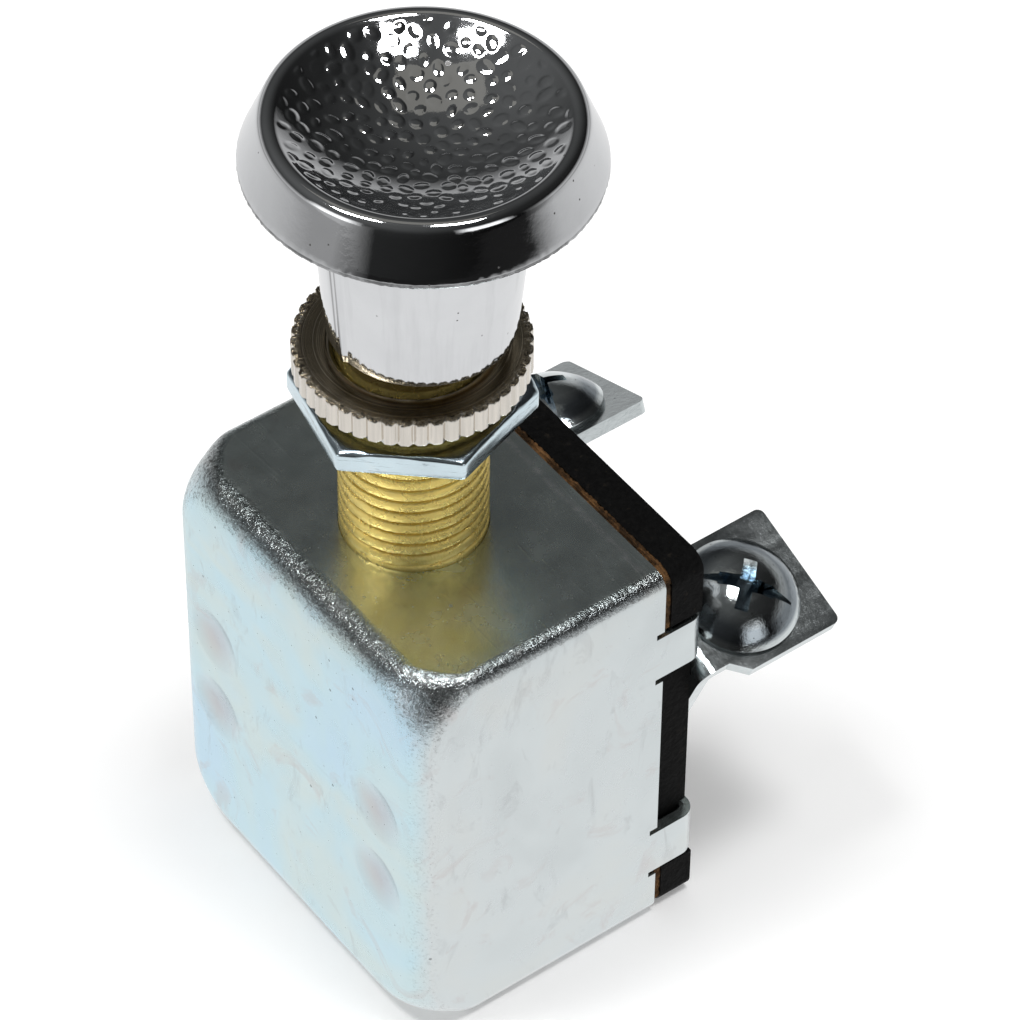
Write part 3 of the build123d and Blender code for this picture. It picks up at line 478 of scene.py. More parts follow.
class Nodes:
    """The node tree of a material or world, with short ways to add a node, set its sockets and link it."""

    def __init__(self, owner):
        owner.use_nodes = True
        self.tree = owner.node_tree
        self.tree.nodes.clear()
        self.coordinates = self.node("ShaderNodeTexCoord").outputs

    def join(self, socket, value):
        """Links an output to a socket, or sets the socket's own value."""
        if isinstance(value, bpy.types.NodeSocket):
            self.tree.links.new(value, socket)
        else:
            socket.default_value = value

    def node(self, kind, inputs=(), **settings):
        """Adds a node; inputs is a list of (socket, value or output to link)."""
        made = self.tree.nodes.new(kind)
        for key, value in settings.items():
            setattr(made, key, value)
        for socket, value in inputs:
            self.join(made.inputs[socket], value)
        return made

    def ramp(self, value, stops):
        """Maps a value through (position, grey or colour) stops."""
        made = self.node("ShaderNodeValToRGB", [("Fac", value)])
        elements = made.color_ramp.elements
        while len(elements) < len(stops):
            elements.new(0.5)
        for element, (position, colour) in zip(elements, stops):
            element.position = position
            element.color = (*colour, 1) if isinstance(colour, tuple) else (colour, colour, colour, 1)
        return made.outputs["Color"]

    def math(self, kind, *values):
        """A Math node on one or two values."""
        return self.node("ShaderNodeMath", enumerate(values), operation=kind).outputs[0]

    def times(self, first, *more):
        """The product of two or more values."""
        for value in more:
            first = self.math("MULTIPLY", first, value)
        return first

    def most(self, first, *more):
        """The largest of two or more values."""
        for value in more:
            first = self.math("MAXIMUM", first, value)
        return first

    def plus(self, a, b):
        """The sum of two values."""
        return self.math("ADD", a, b)

    def apart(self, a, b):
        """How far two values lie apart."""
        return self.math("ABSOLUTE", self.math("SUBTRACT", a, b))

    def hypot(self, a, b):
        """The root of the sum of two squares."""
        return self.math("SQRT", self.plus(self.times(a, a), self.times(b, b)))

    def vector(self, kind, *values):
        """A Vector Math node on one or two vectors: its number where it makes one, else its vector."""
        made = self.node("ShaderNodeVectorMath", enumerate(values), operation=kind)
        return made.outputs["Value" if kind in ("DOT_PRODUCT", "LENGTH", "DISTANCE") else "Vector"]

    def axes(self, vector):
        """The x, y and z outputs of a vector."""
        return self.node("ShaderNodeSeparateXYZ", [("Vector", vector)]).outputs

    def blend(self, factor, a, b, kind="MIX"):
        """Mixes two colours by a factor."""
        a, b = ((*colour, 1) if isinstance(colour, tuple) else colour for colour in (a, b))
        sockets = [(0, factor), (6, a), (7, b)]
        return self.node("ShaderNodeMix", sockets, data_type="RGBA", blend_type=kind).outputs[2]

    def span(self, value, low, high, to_low=0.0, to_high=1.0):
        """A clamped Map Range."""
        return self.node("ShaderNodeMapRange", [("Value", value), ("From Min", low), ("From Max", high),
                                                ("To Min", to_low), ("To Max", to_high)]).outputs[0]


class Finish(Nodes):
    """A material with one surface shader, and short ways to add textures on Object coordinates."""

    def __init__(self, name):
        self.material = bpy.data.materials.new(name)
        super().__init__(self.material)
        self.place = self.coordinates["Object"]
        self.tint = None
        self.surface = self.node("ShaderNodeBsdfPrincipled")
        self.node("ShaderNodeOutputMaterial", [(0, self.surface.outputs[0])])

    def put(self, socket, value):
        """Sets or links one socket of the surface."""
        self.join(self.surface.inputs[socket], value)

    def coat(self, mask, colour, share=1.0, kind="MIX"):
        """Lays a colour over the tint so far by a mask, or by a share of it."""
        mask = mask if share == 1.0 else self.times(mask, share)
        self.tint = self.blend(mask, self.tint, colour, kind)

    def done(self, roughness, normal, metallic=1.0):
        """Gives the surface its tint, roughness, normal and metal share."""
        self.put("Base Color", self.tint)
        self.put("Metallic", metallic)
        self.put("Roughness", roughness)
        self.put("Normal", normal)
        return self.material

    def normal(self):
        """The x, y and z of the surface's own normal."""
        return self.axes(self.node("ShaderNodeNewGeometry").outputs["Normal"])

    def noise(self, scale, detail=3.0, rough=0.55, stretch=None, distort=0.0):
        """A noise value; scale counts cells in a metre, stretch scales the axes."""
        vector = self.place
        if stretch:
            vector = self.node("ShaderNodeMapping", [("Vector", vector), ("Scale", stretch)]).outputs[0]
        return self.node("ShaderNodeTexNoise", [("Vector", vector), ("Scale", scale), ("Detail", detail),
                                                ("Roughness", rough), ("Distortion", distort)]).outputs["Fac"]

    def bump(self, height, distance, strength=1.0, under=None):
        """A Bump node; under is the normal that it adds to."""
        inputs = [("Height", height), ("Distance", distance), ("Strength", strength)]
        if under is not None:
            inputs.append(("Normal", under))
        return self.node("ShaderNodeBump", inputs).outputs[0]

    def pits(self, scale, share, hard=0.06):
        """Small scattered specks: 1 inside a speck, from random cells of which share hold one."""
        cells = self.node("ShaderNodeTexVoronoi", [("Vector", self.place), ("Scale", scale)])
        chosen = self.math("LESS_THAN", self.axes(cells.outputs["Color"])[0], share)
        return self.times(chosen, self.span(cells.outputs["Distance"], 0.10 + hard, 0.10))


def lift(colour, *by):
    """A colour made lighter or darker by one factor, or by one for each channel."""
    return tuple(min(c * k, 1.0) for c, k in zip(colour, by * 3))


def zinc_case(colours):
    """Clear zinc over drawn steel: pale blue on the front, greyer on the sides, with faint green, yellow and
    pink clouds and stains, a top painted a little darker as shade, painted shade on the rounded edges,
    painted reflections in the four dents, a painted highlight along the crease behind the top, dark grit and
    orange peel on the drawn edges, and scattered dark specks."""
    f = Finish("zinc_case")
    base = tuple(colours.zinc)
    x, y, z = f.axes(f.place)[:3]
    normal = f.normal()
    faces_front = f.span(normal[1], -0.5, -0.9)
    faces_up = f.span(normal[2], 0.80, 0.99)

    # clouds, stains and smudges; greyer towards the top, and painted shade on the top face
    cloud = f.noise(62, 3, 0.5, distort=0.6)
    blue = f.ramp(cloud, [(0.30, lift(base, 0.84, 1.06, 1.22)), (0.45, lift(base, 0.87, 1.08, 1.16)),
                          (0.58, lift(base, 0.96, 1.07, 1.06)), (0.72, lift(base, 0.86, 1.07, 1.20))])
    grey = f.ramp(cloud, [(0.32, lift(base, 0.93)), (0.5, base), (0.66, lift(base, 1.03, 1.0, 0.97))])
    f.tint = f.blend(faces_front, grey, blue)
    f.coat(f.span(z, -8.0 * MM, -1.0 * MM), (0.40, 0.42, 0.42), 0.10)
    stain = f.span(f.noise(150, 4, 0.6, distort=1.5), 0.58, 0.70)
    f.coat(stain, (0.60, 0.53, 0.52), 0.34)
    smudge = f.span(f.noise(330, 5, 0.7, stretch=(1.0, 1.0, 0.45), distort=0.8), 0.57, 0.78)
    f.coat(smudge, (0.40, 0.41, 0.42), 0.45)
    # painted shade: the top face a little darker and greener
    f.coat(faces_up, (0.96, 1.0, 0.97), kind="MULTIPLY")

    # painted shade on the rounded edges, and on the top's front and right lips painted shade broken up by
    # grit
    brow = f.times(f.span(normal[2], 0.84, 0.95), f.span(normal[2], 0.9995, 0.985))
    flank = f.times(f.span(normal[0], 0.10, 0.35), f.span(normal[0], 0.95, 0.75))
    flank = f.times(flank, f.span(normal[1], -0.30, -0.08))
    shoulder_shade = f.times(f.most(brow, flank), f.span(f.noise(900, 4, 0.75), 0.30, 0.60, 0.45, 1.0))
    grit = f.noise(2900, 3, 0.75)
    lip = f.most(f.span(normal[1], -0.05, -0.20), f.span(normal[0], 0.06, 0.20, 0.0, 0.85))
    lip = f.times(lip, f.span(normal[2], 0.55, 0.75))
    # painted shade on the rounded edges
    f.coat(shoulder_shade, (0.50, 0.51, 0.52), kind="MULTIPLY")
    # painted shade on the lips, broken up by grit
    f.coat(lip, f.ramp(grit, [(0.38, 1.0), (0.48, 0.62), (0.60, 0.34)]), kind="MULTIPLY")

    # painted reflections in the dents: pinkish towards the lower left, blue-grey towards the upper right
    dent_reflection_hues = [(0.15, (0.60, 0.52, 0.51)), (0.48, (0.56, 0.585, 0.63)), (0.9, (0.54, 0.61, 0.68))]
    for dent_x in (-DENT_X, DENT_X):
        for dent_z in DENT_Z:
            off_x, off_z = f.math("SUBTRACT", x, dent_x), f.math("SUBTRACT", z, dent_z)
            spot = f.times(f.span(f.hypot(off_x, off_z), 3.7 * MM, 0.8 * MM), faces_front)
            slant = f.span(f.plus(off_x, f.times(off_z, 0.8)), -3.0 * MM, 3.0 * MM)
            f.coat(spot, f.ramp(slant, dent_reflection_hues), 0.78)

    # specks and worn edges; an edge is where the surface turns away from all three axes
    flattest = f.most(*[f.math("ABSOLUTE", n) for n in normal])
    edge = f.span(flattest, 0.985, 0.90)
    worn = f.times(f.span(grit, 0.53, 0.63), f.times(edge, f.span(z, -9.0 * MM, -2.0 * MM, 0.20, 0.75)))
    dirt = f.most(f.times(f.pits(900, 0.05), 0.8), f.times(f.pits(2300, 0.10, 0.1), 0.5), worn)
    f.coat(dirt, (0.10, 0.095, 0.09), 0.7)
    # painted highlight along the crease behind the top
    crease = f.times(f.span(f.apart(y, CREASE_Y), 0.45 * MM, 0.10 * MM), faces_up)
    crease = f.times(crease, f.span(f.noise(1300, 4, 0.7), 0.40, 0.62))
    f.coat(crease, (0.95, 0.97, 0.98), 0.8)
    dull = f.plus(f.span(f.noise(240, 4, 0.6), 0.3, 0.7, 0.20, 0.30), f.times(edge, -0.03))
    dull = f.plus(dull, f.times(dirt, 0.25))

    # slow waves, orange peel, scratches and sunk specks
    wave = f.bump(f.noise(95, 2, 0.5), 0.18 * MM, 0.22)
    drawn = f.most(f.times(edge, f.span(z, -9.0 * MM, -2.0 * MM, 0.35, 0.75)), shoulder_shade)
    peel = f.bump(f.times(grit, f.span(drawn, 0.0, 1.0, 0.12, 1.0)), 0.11 * MM, 0.9, wave)
    scratch = f.span(f.noise(900, 2, 0.5, stretch=(0.05, 1.0, 1.0), distort=2.0), 0.64, 0.68)
    return f.done(dull, f.bump(dirt, 0.03 * MM, -0.5, f.bump(scratch, 0.02 * MM, 0.3, peel)))


def zinc_nut(colours):
    """Zinc on the hexagon nut: pale blue flats with lengthwise scuffs, and a top painted darker and greyer as
    shade.
    """
    f = Finish("zinc_nut")
    base = tuple(colours.zinc)
    faces_up = f.span(f.normal()[2], 0.75, 0.97)
    cloud = f.noise(160, 4, 0.6)
    f.tint = f.ramp(cloud, [(0.3, lift(base, 0.88, 0.96, 1.02)), (0.55, lift(base, 1.00, 1.11, 1.17)),
                            (0.75, lift(base, 1.18))])
    scuff = f.span(f.noise(900, 4, 0.7, stretch=(0.35, 0.35, 2.6), distort=0.8), 0.57, 0.68)
    f.coat(scuff, (0.20, 0.24, 0.28), 0.55)
    # painted shade: the top darker and greyer
    f.coat(faces_up, (0.36, 0.42, 0.50), 0.75)
    dull = f.span(cloud, 0.3, 0.7, 0.15, 0.25)
    return f.done(dull, f.bump(f.noise(1500, 4, 0.6), 0.04 * MM, 0.3, f.bump(scuff, 0.03 * MM, -0.4)))


def machined_brass(colours):
    """Brass of the stem: warm and matte, with painted shade in the grooves and a painted shadow at its upper
    end, under the knob, with a fine grain and rolling marks."""
    f = Finish("machined_brass")
    base = tuple(colours.brass)
    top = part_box("mounting_bushing")[1].z
    x, y, z = f.axes(f.place)[:3]
    root = f.span(f.hypot(x, y), 6.22 * MM, 5.96 * MM)
    cloud = f.noise(260, 4, 0.65)
    f.tint = f.ramp(cloud, [(0.3, lift(base, 0.88)), (0.55, base), (0.75, lift(base, 1.0, 1.06, 1.3))])
    # painted shade in the thread's roots
    f.coat(root, lift(base, 0.30), 0.55)
    grain = f.span(f.noise(2600, 3, 0.7), 0.56, 0.72)
    f.coat(grain, lift(base, 0.55), 0.15)
    # painted shadow at the stem's upper end, under the knob's hub
    f.coat(f.span(z, top - 0.6 * MM, top - 0.3 * MM, 0.0, 0.6), lift(base, 0.25))
    dull = f.span(f.noise(520, 3, 0.6), 0.3, 0.7, 0.20, 0.34)
    marks = f.bump(f.noise(1100, 3, 0.6, stretch=(1.0, 1.0, 3.0)), 0.10 * MM, 0.6)
    return f.done(dull, f.bump(f.noise(4600, 3, 0.7), 0.09 * MM, 0.9, marks), 0.82)


def nickel_ring(colours):
    """Nickel on the ring nut: warm white flanks with fine upright lines, a top painted dark brown as shade
    with fine lathe rings, a painted shadow on the chamfer round the bore, and bright and bare specks along
    the burr."""
    f = Finish("nickel_ring")
    base, bare = tuple(colours.nickel), (0.03, 0.026, 0.02)
    x, y = f.axes(f.place)[:2]
    radius = f.hypot(x, y)
    rings = [("W", radius), ("Scale", 9000.0), ("Detail", 3.0), ("Roughness", 0.7)]
    ring = f.node("ShaderNodeTexNoise", rings, noise_dimensions="1D").outputs["Fac"]
    faces_up = f.span(f.normal()[2], 0.45, 0.85)
    upright = f.noise(2400, 2, 0.6, stretch=(1.0, 1.0, 0.05))
    flank = f.ramp(upright, [(0.32, lift(base, 0.90)), (0.55, base), (0.7, lift(base, 1.05))])
    # painted shade: a dark brown top, lighter in fine lathe rings
    top_shade_browns = [(0.3, (0.20, 0.165, 0.115)), (0.55, (0.42, 0.355, 0.25)), (0.75, (0.74, 0.66, 0.52))]
    f.tint = f.blend(faces_up, flank, f.ramp(ring, top_shade_browns))
    # painted shadow on the chamfer round the bore, under the knob's hub
    f.coat(f.span(radius, 7.08 * MM, 6.88 * MM, 0.0, 0.85), bare)
    burr = f.noise(2600, 4, 0.75)
    near_edge = f.times(f.span(radius, 8.9 * MM, 9.4 * MM), faces_up)
    f.coat(f.times(near_edge, f.span(burr, 0.54, 0.60)), bare)
    f.coat(f.times(near_edge, f.span(burr, 0.44, 0.38)), lift(base, 1.05))
    dull = f.span(f.noise(420, 4, 0.65), 0.3, 0.7, 0.16, 0.26)
    lathe = f.bump(f.times(ring, faces_up), 0.02 * MM, 0.5)
    rough = f.bump(f.times(burr, near_edge), 0.12 * MM, 0.8, lathe)
    return f.done(dull, f.bump(f.noise(2200, 3, 0.6), 0.02 * MM, 0.25, rough))


def bright_chrome(colours, sizes):
    """Bright plating over a casting: mirror smooth with a slow ripple, faint upright streaks painted on the
    hub as reflections, seams with painted shade beside them, a line of painted shade along the skirt's edge,
    tiny nodules and a few bare pits."""
    f = Finish("bright_chrome")
    base = tuple(colours.chrome)
    x, y, z = f.axes(f.place)[:3]
    on_hub = f.span(z, 38.5 * MM, 37.5 * MM)
    flaw = f.most(f.pits(420, 0.05, 0.05), f.pits(1500, 0.04, 0.08))
    haze = f.noise(180, 3, 0.6)
    f.tint = f.ramp(haze, [(0.35, lift(base, 0.95)), (0.65, base)])
    # painted reflections: faint dark upright streaks on the hub
    streak = f.span(f.noise(420, 4, 0.65, stretch=(1.0, 1.0, 0.05)), 0.50, 0.72)
    f.coat(f.times(streak, on_hub), lift(base, 0.55), 0.26)

    # painted shade beside the seams, by the distance from the upright plane through both
    square = SEAM_HEADINGS[1] - math.radians(90)
    off = f.plus(f.times(x, math.cos(square)), f.times(y, math.sin(square)))
    beside = f.apart(f.math("ABSOLUTE", off), 0.46 * MM)
    seam_shade = f.times(f.span(beside, 0.22 * MM, 0.06 * MM), on_hub)
    f.coat(seam_shade, lift(base, 0.22), 0.75)

    # painted shade along the skirt's edge, by height and radius along the leaning axis
    up, skirt = lean_axis(sizes), SKIRT_TOP - sizes.lean_pivot
    arm = f.vector("SUBTRACT", f.place, (0, 0, sizes.lean_pivot))
    tall = f.vector("DOT_PRODUCT", arm, up)
    wide = f.vector("LENGTH", f.vector("CROSS_PRODUCT", arm, up))
    edge = f.times(f.span(tall, skirt, skirt - 0.12 * MM), f.span(wide, 14.2 * MM, 14.5 * MM))
    edge = f.times(edge, f.span(f.noise(700, 4, 0.7), 0.34, 0.58, 0.55, 0.95))
    f.coat(edge, lift(base, 0.16))
    f.coat(flaw, (0.05, 0.045, 0.04), 0.85)
    dull = f.plus(f.span(haze, 0.3, 0.7, 0.035, 0.07), f.times(flaw, 0.3))
    ripple = f.bump(f.noise(210, 2, 0.5), 0.12 * MM, 0.14)
    nodules = f.bump(f.noise(1500, 3, 0.7), 0.02 * MM, 0.18, ripple)
    return f.done(dull, f.bump(flaw, 0.05 * MM, -0.5, nodules))


def black_board(colours):
    """Moulded black board: fine granular filler, rough broken edges and a trace of brown dust."""
    f = Finish("black_board")
    base = tuple(colours.board)
    grain = f.noise(2600, 4, 0.7)
    side = f.span(f.math("ABSOLUTE", f.normal()[1]), 0.9, 0.4)
    dust = f.times(f.span(f.noise(900, 4, 0.7), 0.60, 0.74), f.plus(f.times(side, 0.16), 0.06))
    f.tint = f.ramp(grain, [(0.35, lift(base, 0.7)), (0.7, lift(base, 1.8))])
    f.coat(dust, (0.09, 0.07, 0.05))
    dull = f.span(side, 0.0, 1.0, 0.38, 0.68)
    f.put("Specular IOR Level", f.span(side, 0.0, 1.0, 0.35, 0.06))
    chips = f.bump(f.noise(620, 4, 0.75), 0.35 * MM, f.plus(f.times(side, 0.7), 0.05))
    return f.done(dull, f.bump(grain, 0.06 * MM, 0.5, chips), 0.0)


def brown_fibre(colours):
    """Pressed brown fibre: mottled reds and browns that black dirt breaks up, with a granular cut edge."""
    f = Finish("brown_fibre")
    base = tuple(colours.fibre)
    strands = f.noise(1400, 4, 0.7, stretch=(0.35, 2.0, 0.35), distort=1.0)
    grain = f.noise(3000, 4, 0.75)
    f.tint = f.ramp(strands, [(0.3, lift(base, 0.45)), (0.5, base), (0.72, lift(base, 1.9))])
    soot = f.span(f.noise(420, 5, 0.7, distort=0.6), 0.42, 0.60)
    f.coat(soot, (0.008, 0.006, 0.004), 0.85)
    f.coat(f.span(grain, 0.5, 0.7), lift(base, 0.25))
    f.put("Specular IOR Level", 0.2)
    return f.done(0.85, f.bump(grain, 0.16 * MM, 0.9, f.bump(strands, 0.12 * MM, 0.7)), 0.0)


def screw_recess_shade(f, mounts):
    """1 in a screw head's slots: there a point lies well inside the ball that the dome is part of."""
    inside = 0.0
    for mount in mounts:
        seat, axis = Vector(mount["pos_m"]), Vector(mount["axis"])
        middle = seat - axis.normalized() * SCREW_SEAT_TO_BALL
        off = f.vector("DISTANCE", f.place, tuple(middle))
        slot = f.span(off, SCREW_BALL - 0.36 * MM, SCREW_BALL - 0.8 * MM)
        above = f.vector("DOT_PRODUCT", f.place, mount["axis"])
        in_head = f.math("GREATER_THAN", above, seat.dot(axis) + 0.6 * MM)
        inside = f.most(inside, f.times(slot, in_head))
    return inside


def screw_slope_shade(f, mounts):
    """1 on the outer slope of a screw's dome, short of its rim, by the distance from the nearest axis."""
    nearest = 1.0
    for mount in mounts:
        arm = f.vector("SUBTRACT", f.place, mount["pos_m"])
        off = f.vector("LENGTH", f.vector("CROSS_PRODUCT", arm, mount["axis"]))
        nearest = f.math("MINIMUM", nearest, off)
    return f.times(f.span(nearest, 3.0 * MM, 4.0 * MM), f.span(nearest, 5.15 * MM, 4.85 * MM))


def dull_zinc(name, colours, dark, rough, mounts=()):
    """Duller zinc for stamped or small steel pieces: rolled streaks, stains and pressed scratches, and
    for the screws that sit on the mounts an outer slope painted darker as shade and painted shade in the
    slots."""
    f = Finish(name)
    base = lift(tuple(colours.zinc), dark)
    streak = f.noise(420, 4, 0.65, stretch=(1.0, 0.25, 1.0))
    f.tint = f.ramp(streak, [(0.3, lift(base, 0.86)), (0.55, base), (0.78, lift(base, 1.12))])
    stain = f.span(f.noise(190, 4, 0.6), 0.56, 0.72)
    f.coat(stain, lift(base, 0.48, 0.46, 0.44), 0.18)
    f.coat(f.pits(1700, 0.15), (0.06, 0.06, 0.06), 0.7)
    if mounts:
        # painted shade: the outer slope of each screw's dome darker
        f.coat(screw_slope_shade(f, mounts), (0.40, 0.42, 0.45), kind="MULTIPLY")
        # painted shade in the screw heads' slots
        f.coat(screw_recess_shade(f, mounts), (0.15, 0.23, 0.30), 0.8)
    dull = f.span(streak, 0.3, 0.7, rough - 0.06, rough + 0.08)
    return f.done(dull, f.bump(f.noise(1800, 4, 0.65), 0.04 * MM, 0.5))


def plain_metal(name, colour, rough, grain=(1.0, 1.0, 1.0)):
    """Inner metal pieces: one alloy's colour with faint drawing or turning lines and a few stains."""
    f = Finish(name)
    lines = f.noise(900, 4, 0.6, stretch=grain)
    f.tint = f.ramp(lines, [(0.3, lift(colour, 0.8)), (0.6, colour), (0.8, lift(colour, 1.1))])
    stain = f.span(f.noise(260, 3), 0.6, 0.75)
    f.coat(stain, lift(colour, 0.5), 0.35)
    dull = f.span(lines, 0.3, 0.7, rough - 0.05, rough + 0.07)
    return f.done(dull, f.bump(lines, 0.04 * MM, 0.4))


def moulded_phenolic(name, colour):
    """Moulded slider: dark brown with filler flecks and a dull skin."""
    f = Finish(name)
    fleck = f.noise(1100, 4, 0.7)
    f.tint = f.ramp(fleck, [(0.35, lift(colour, 0.6)), (0.6, colour), (0.8, lift(colour, 2.0))])
    dull = f.span(fleck, 0.3, 0.7, 0.4, 0.55)
    return f.done(dull, f.bump(fleck, 0.08 * MM, 0.4), 0.0)


def dress(name, material):
    """Gives a CAD node one material."""
    node = frame["nodes"][name]
    node.data.materials.clear()
    node.data.materials.append(material)


# Operators

class SWITCH_OT_case(bpy.types.Operator):
    """Finishes the plated case and its tabs"""

    bl_idname = "switch.case"
    bl_label = "Plate the Case"

    def execute(self, context):
        dress("case", zinc_case(context.scene.switch_colours))
        return {"FINISHED"}


class SWITCH_OT_stem(bpy.types.Operator):
    """Cuts the stem's thread and finishes the brass"""

    bl_idname = "switch.stem"
    bl_label = "Thread the Stem"

    def execute(self, context):
        stem = threaded_stem(context.scene.switch_sizes)
        brass = machined_brass(context.scene.switch_colours)
        stem.data.materials.append(brass)
        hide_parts("mounting_bushing")
        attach(stem, "housing")
        dress("mounting_bushing", brass)
        return {"FINISHED"}


class SWITCH_OT_nuts(bpy.types.Operator):
    """Makes and finishes the hexagon nut and the knurled ring nut"""

    bl_idname = "switch.nuts"
    bl_label = "Make the Nuts"

    def execute(self, context):
        colours = context.scene.switch_colours
        for make, node, slot, finish in ((hexagon_nut, "hex_nut", "hex_zinc", zinc_nut(colours)),
                                         (knurled_nut, "ring_nut", "ring_nickel", nickel_ring(colours))):
            nut = make()
            nut.data.materials.append(finish)
            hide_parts(node)
            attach(nut, node)
            dress(node, finish)
        return {"FINISHED"}


class SWITCH_OT_knob(bpy.types.Operator):
    """Makes the pebbled knob and finishes the plunger's seen ends"""

    bl_idname = "switch.knob"
    bl_label = "Make the Knob"

    def execute(self, context):
        sizes, colours = context.scene.switch_sizes, context.scene.switch_colours
        knob = mushroom_knob(sizes)
        chrome = bright_chrome(colours, sizes)
        knob.data.materials.append(chrome)
        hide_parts("knob")
        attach(knob, "plunger")
        dress("knob", chrome)
        dress("knob_insert", plain_metal("insert_brass", (0.74, 0.55, 0.19), 0.3))
        dress("plunger_shaft", plain_metal("ground_steel", (0.58, 0.58, 0.58), 0.26, (1.0, 1.0, 4.0)))
        return {"FINISHED"}


class SWITCH_OT_terminals(bpy.types.Operator):
    """Finishes the board, its fibre sheet and the terminals, and threads the screws"""

    bl_idname = "switch.terminals"
    bl_label = "Finish the Terminals"

    def execute(self, context):
        sizes, colours = context.scene.switch_sizes, context.scene.switch_colours
        dress("terminal_board", black_board(colours))
        fibre = brown_fibre(colours)
        sheet = fibre_sheet()
        sheet.data.materials.append(fibre)
        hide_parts("insulator_sheet")
        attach(sheet, "housing")
        dress("insulator_sheet", fibre)
        strip = dull_zinc("terminal_zinc", colours, 1.0, 0.17)
        mounts = {m["name"]: m for m in frame["record"]["mounts"]}
        seats = [mounts["terminal_left"], mounts["terminal_right"]]
        bright = dull_zinc("screw_zinc", colours, 1.05, 0.11, seats)
        rivet = plain_metal("rivet_brass", (0.62, 0.46, 0.18), 0.32)
        for side in ("left", "right"):
            dress("terminal_" + side, strip)
            dress("terminal_screw_" + side, bright)
            dress("contact_rivet_" + side, rivet)
            mount = mounts["terminal_" + side]
            thread = screw_thread("screw_thread_" + side, mount["pos_m"], mount["axis"], sizes)
            thread.data.materials.append(bright)
            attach(thread, "housing")
        return {"FINISHED"}


class SWITCH_OT_inside(bpy.types.Operator):
    """Finishes the slider, contacts, springs and balls inside the case"""

    bl_idname = "switch.inside"
    bl_label = "Finish the Inside"

    def execute(self, context):
        steel = plain_metal("spring_steel", (0.46, 0.46, 0.48), 0.3)
        polished = plain_metal("ball_steel", (0.66, 0.66, 0.67), 0.12)
        dress("carriage", moulded_phenolic("slider_phenolic", (0.07, 0.032, 0.016)))
        dress("carriage_washer", plain_metal("washer_steel", (0.56, 0.56, 0.56), 0.3))
        dress("stop_ring", steel)
        dress("contact_bridge", plain_metal("contact_copper", (0.72, 0.36, 0.22), 0.28, (0.3, 1.0, 1.0)))
        for side in ("left", "right"):
            dress("contact_spring_" + side, steel)
            dress("detent_ball_" + side, polished)
        return {"FINISHED"}


# Studio

def studio_floor(colours):
    """Pale floor: diffuse, lifted to white where the camera sees it, and for mirrors white near the switch,
    greyer farther off, and dark far off on the room's dark side."""
    f = Finish("pale_floor")
    ray = f.node("ShaderNodeLightPath").outputs
    out = f.vector("LENGTH", f.place)
    ahead = f.vector("DOT_PRODUCT", f.place, ROOM_HEADING)
    dark = f.span(f.math("DIVIDE", ahead, out), 0.38, 0.70)
    far = f.times(f.span(out, 0.30, 0.85), dark)
    even = f.ramp(f.span(out, 0.0, 1.0), [(0.0, 0.92), (0.10, 0.92), (0.20, 0.80),
                                          (0.35, 0.66), (0.7, 0.46), (1.0, 0.36)])
    mirror = f.blend(far, even, (0.015, 0.015, 0.015))
    f.put("Base Color", f.blend(ray["Is Glossy Ray"], tuple(colours.floor), (0, 0, 0)))
    f.put("Roughness", 0.9)
    f.put("Specular IOR Level", 0.0)
    f.put("Emission Color", f.blend(ray["Is Glossy Ray"], (0.16, 0.16, 0.16), mirror))
    f.put("Emission Strength", f.most(ray["Is Camera Ray"], ray["Is Glossy Ray"]))
    return f.material


def studio_sky():
    """Sky: white to the camera, even and soft for diffuse light, and for mirrors a dark room with a paler
    ceiling, a grey horizon that stops on the room's dark side and two upright soft panels."""
    world = bpy.data.worlds.new("studio")
    s = Nodes(world)
    direction = s.coordinates["Generated"]
    x, y, height = s.axes(direction)[:3]
    greys = [(0.0, 0.015), (0.30, 0.03), (0.70, 0.066), (1.0, 0.08)]
    room = s.ramp(height, [(at, (grey, grey * 1.02, grey * 1.02)) for at, grey in greys])
    slant = s.span(s.vector("DOT_PRODUCT", direction, PICTURE_RIGHT), -0.6, 0.6, 1.7, 0.3)
    room = s.node("ShaderNodeVectorMath", [(0, room), ("Scale", slant)], operation="SCALE").outputs[0]
    behind = s.span(s.vector("DOT_PRODUCT", direction, ROOM_HEADING), 0.70, 0.38)
    mirror = s.blend(s.times(s.span(height, 0.36, 0.10), behind), room, (0.52, 0.52, 0.52))
    heading = s.math("ARCTAN2", y, x)
    tall = s.times(s.span(height, 0.05, 0.11), s.span(height, 0.55, 0.35))
    for at in PANEL_HEADINGS:
        near = s.span(s.apart(heading, at), 0.34, 0.14)
        mirror = s.blend(s.times(near, tall), mirror, (1.6, 1.6, 1.6))
    ray = s.node("ShaderNodeLightPath").outputs
    last = s.node("ShaderNodeBackground", [("Color", (0.50, 0.50, 0.50, 1))]).outputs[0]
    for share, colour in ((ray["Is Glossy Ray"], mirror), (ray["Is Camera Ray"], (1, 1, 1, 1))):
        shader = s.node("ShaderNodeBackground", [("Color", colour)]).outputs[0]
        last = s.node("ShaderNodeMixShader", [(0, share), (1, last), (2, shader)]).outputs[0]
    s.node("ShaderNodeOutputWorld", [(0, last)])
    return world


def set_up(name, data, across, above, back, place):
    """Adds a lamp or a camera whose matrix has the three axes and the place as its columns."""
    made = bpy.data.objects.new(name, data)
    columns = ((*across, 0), (*above, 0), (*back, 0), (*place, 1))
    made.matrix_world = Matrix(columns).transposed()
    bpy.context.scene.collection.objects.link(made)
    return made


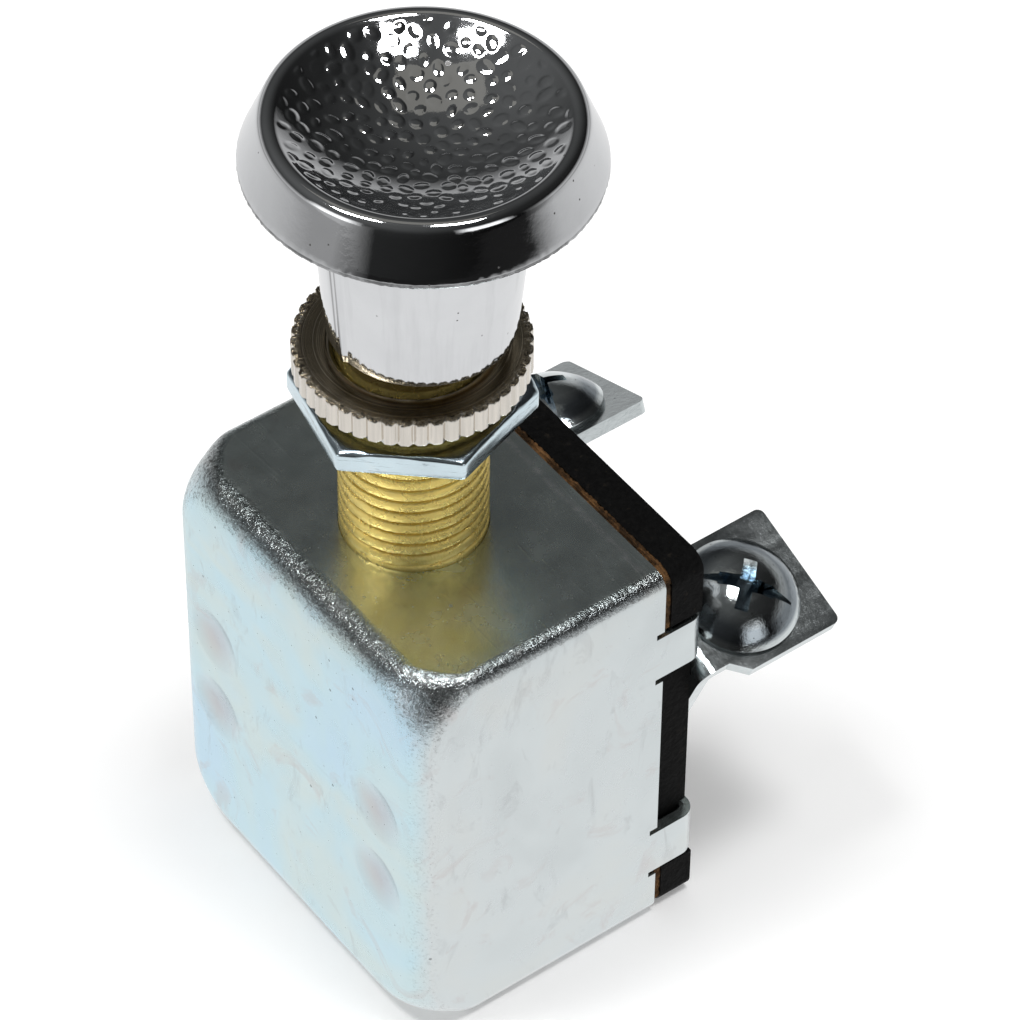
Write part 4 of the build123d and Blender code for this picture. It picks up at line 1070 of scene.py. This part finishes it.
def soft_light(name, place, width, height, power, colour=(1, 1, 1)):
    """A rectangular area lamp at place that faces the knob, its width level and along the picture's."""
    data = bpy.data.lights.new(name, "AREA")
    data.shape = "RECTANGLE"
    data.size, data.size_y = width, height
    data.energy = power
    data.color = colour
    down = (Vector((0.0, 0.0, 0.04)) - Vector(place)).normalized()
    across = Vector(PICTURE_RIGHT)
    across = (across - down * across.dot(down)).normalized()
    set_up(name, data, across, across.cross(down), -down, place)


def photo_camera():
    """Camera at the viewing angle worked out from the photo's edges: 53.2 degrees round, 46.5 up, 460 mm off,
    with a small roll and shift."""
    turn, climb, roll = (math.radians(v) for v in (53.17, 46.5, 0.5))
    away, right_by, up_by = 460.2, 8.04, 0.51
    focal_px, picture_px, sensor = 5500, 1020, 36.0
    level = math.cos(climb)
    back = Vector((math.sin(turn) * level, -math.cos(turn) * level, math.sin(climb)))
    right = Vector((math.cos(turn), math.sin(turn), 0))
    up = back.cross(right)
    across = math.cos(roll) * right + math.sin(roll) * up
    above = -math.sin(roll) * right + math.cos(roll) * up
    data = bpy.data.cameras.new("camera")
    data.sensor_width = sensor
    data.lens = focal_px / picture_px * sensor
    data.clip_start, data.clip_end = 0.01, 20.0
    place = (back * away + across * right_by + above * up_by) * MM
    bpy.context.scene.camera = set_up("camera", data, across, above, back, place)


class SWITCH_OT_stage(bpy.types.Operator):
    """Lays the floor and sets the sky, the lamps and the camera"""

    bl_idname = "switch.stage"
    bl_label = "Set the Stage"

    def execute(self, context):
        scene = context.scene
        scene.view_settings.view_transform = "Standard"
        floor_z, reach = CAD_BOX[0][2], 4.0
        u = np.linspace(-reach, reach, 3)
        x, y = np.meshgrid(u, u)
        floor = piece_from_grid("floor", np.stack([x, y, np.full_like(x, floor_z)], axis=-1), close_u=False)
        floor.data.materials.append(studio_floor(scene.switch_colours))
        scene.world = studio_sky()
        soft_light("key_right", (0.166, 0.097, 0.92), 0.22, 0.20, 3.4)
        soft_light("key_left", (-0.133, -0.290, 0.88), 0.26, 0.15, 3.4)
        soft_light("panel", (-0.249, 0.095, 0.90), 0.50, 0.36, 0.09, (1.0, 0.96, 0.86))
        photo_camera()
        return {"FINISHED"}


class SWITCH_PT_panel(bpy.types.Panel):
    """Lists the switch's sizes, colours and steps"""

    bl_idname = "SWITCH_PT_panel"
    bl_label = "Panel Switch"
    bl_space_type = "VIEW_3D"
    bl_region_type = "UI"
    bl_category = "Switch"

    def draw(self, context):
        layout = self.layout
        for group in (context.scene.switch_sizes, context.scene.switch_colours):
            for key in group.__annotations__:
                layout.prop(group, key)
        for step in STEPS:
            layout.operator(step.bl_idname)


STEPS = (SWITCH_OT_case, SWITCH_OT_stem, SWITCH_OT_nuts, SWITCH_OT_knob,
         SWITCH_OT_terminals, SWITCH_OT_inside, SWITCH_OT_stage)
CLASSES = (SwitchSizes, SwitchColours, *STEPS, SWITCH_PT_panel)


def register():
    """Registers the classes and hangs the two property groups on the scene."""
    for cls in CLASSES:
        bpy.utils.register_class(cls)
    bpy.types.Scene.switch_sizes = bpy.props.PointerProperty(type=SwitchSizes)
    bpy.types.Scene.switch_colours = bpy.props.PointerProperty(type=SwitchColours)


def unregister():
    """Takes the property groups and the classes away again."""
    del bpy.types.Scene.switch_colours
    del bpy.types.Scene.switch_sizes
    for cls in reversed(CLASSES):
        bpy.utils.unregister_class(cls)


def main():
    """Runs every step."""
    register()
    bpy.ops.switch.case()
    bpy.ops.switch.stem()
    bpy.ops.switch.nuts()
    bpy.ops.switch.knob()
    bpy.ops.switch.terminals()
    bpy.ops.switch.inside()
    bpy.ops.switch.stage()
    bpy.context.view_layer.update()


if __name__ == "__main__":
    main()
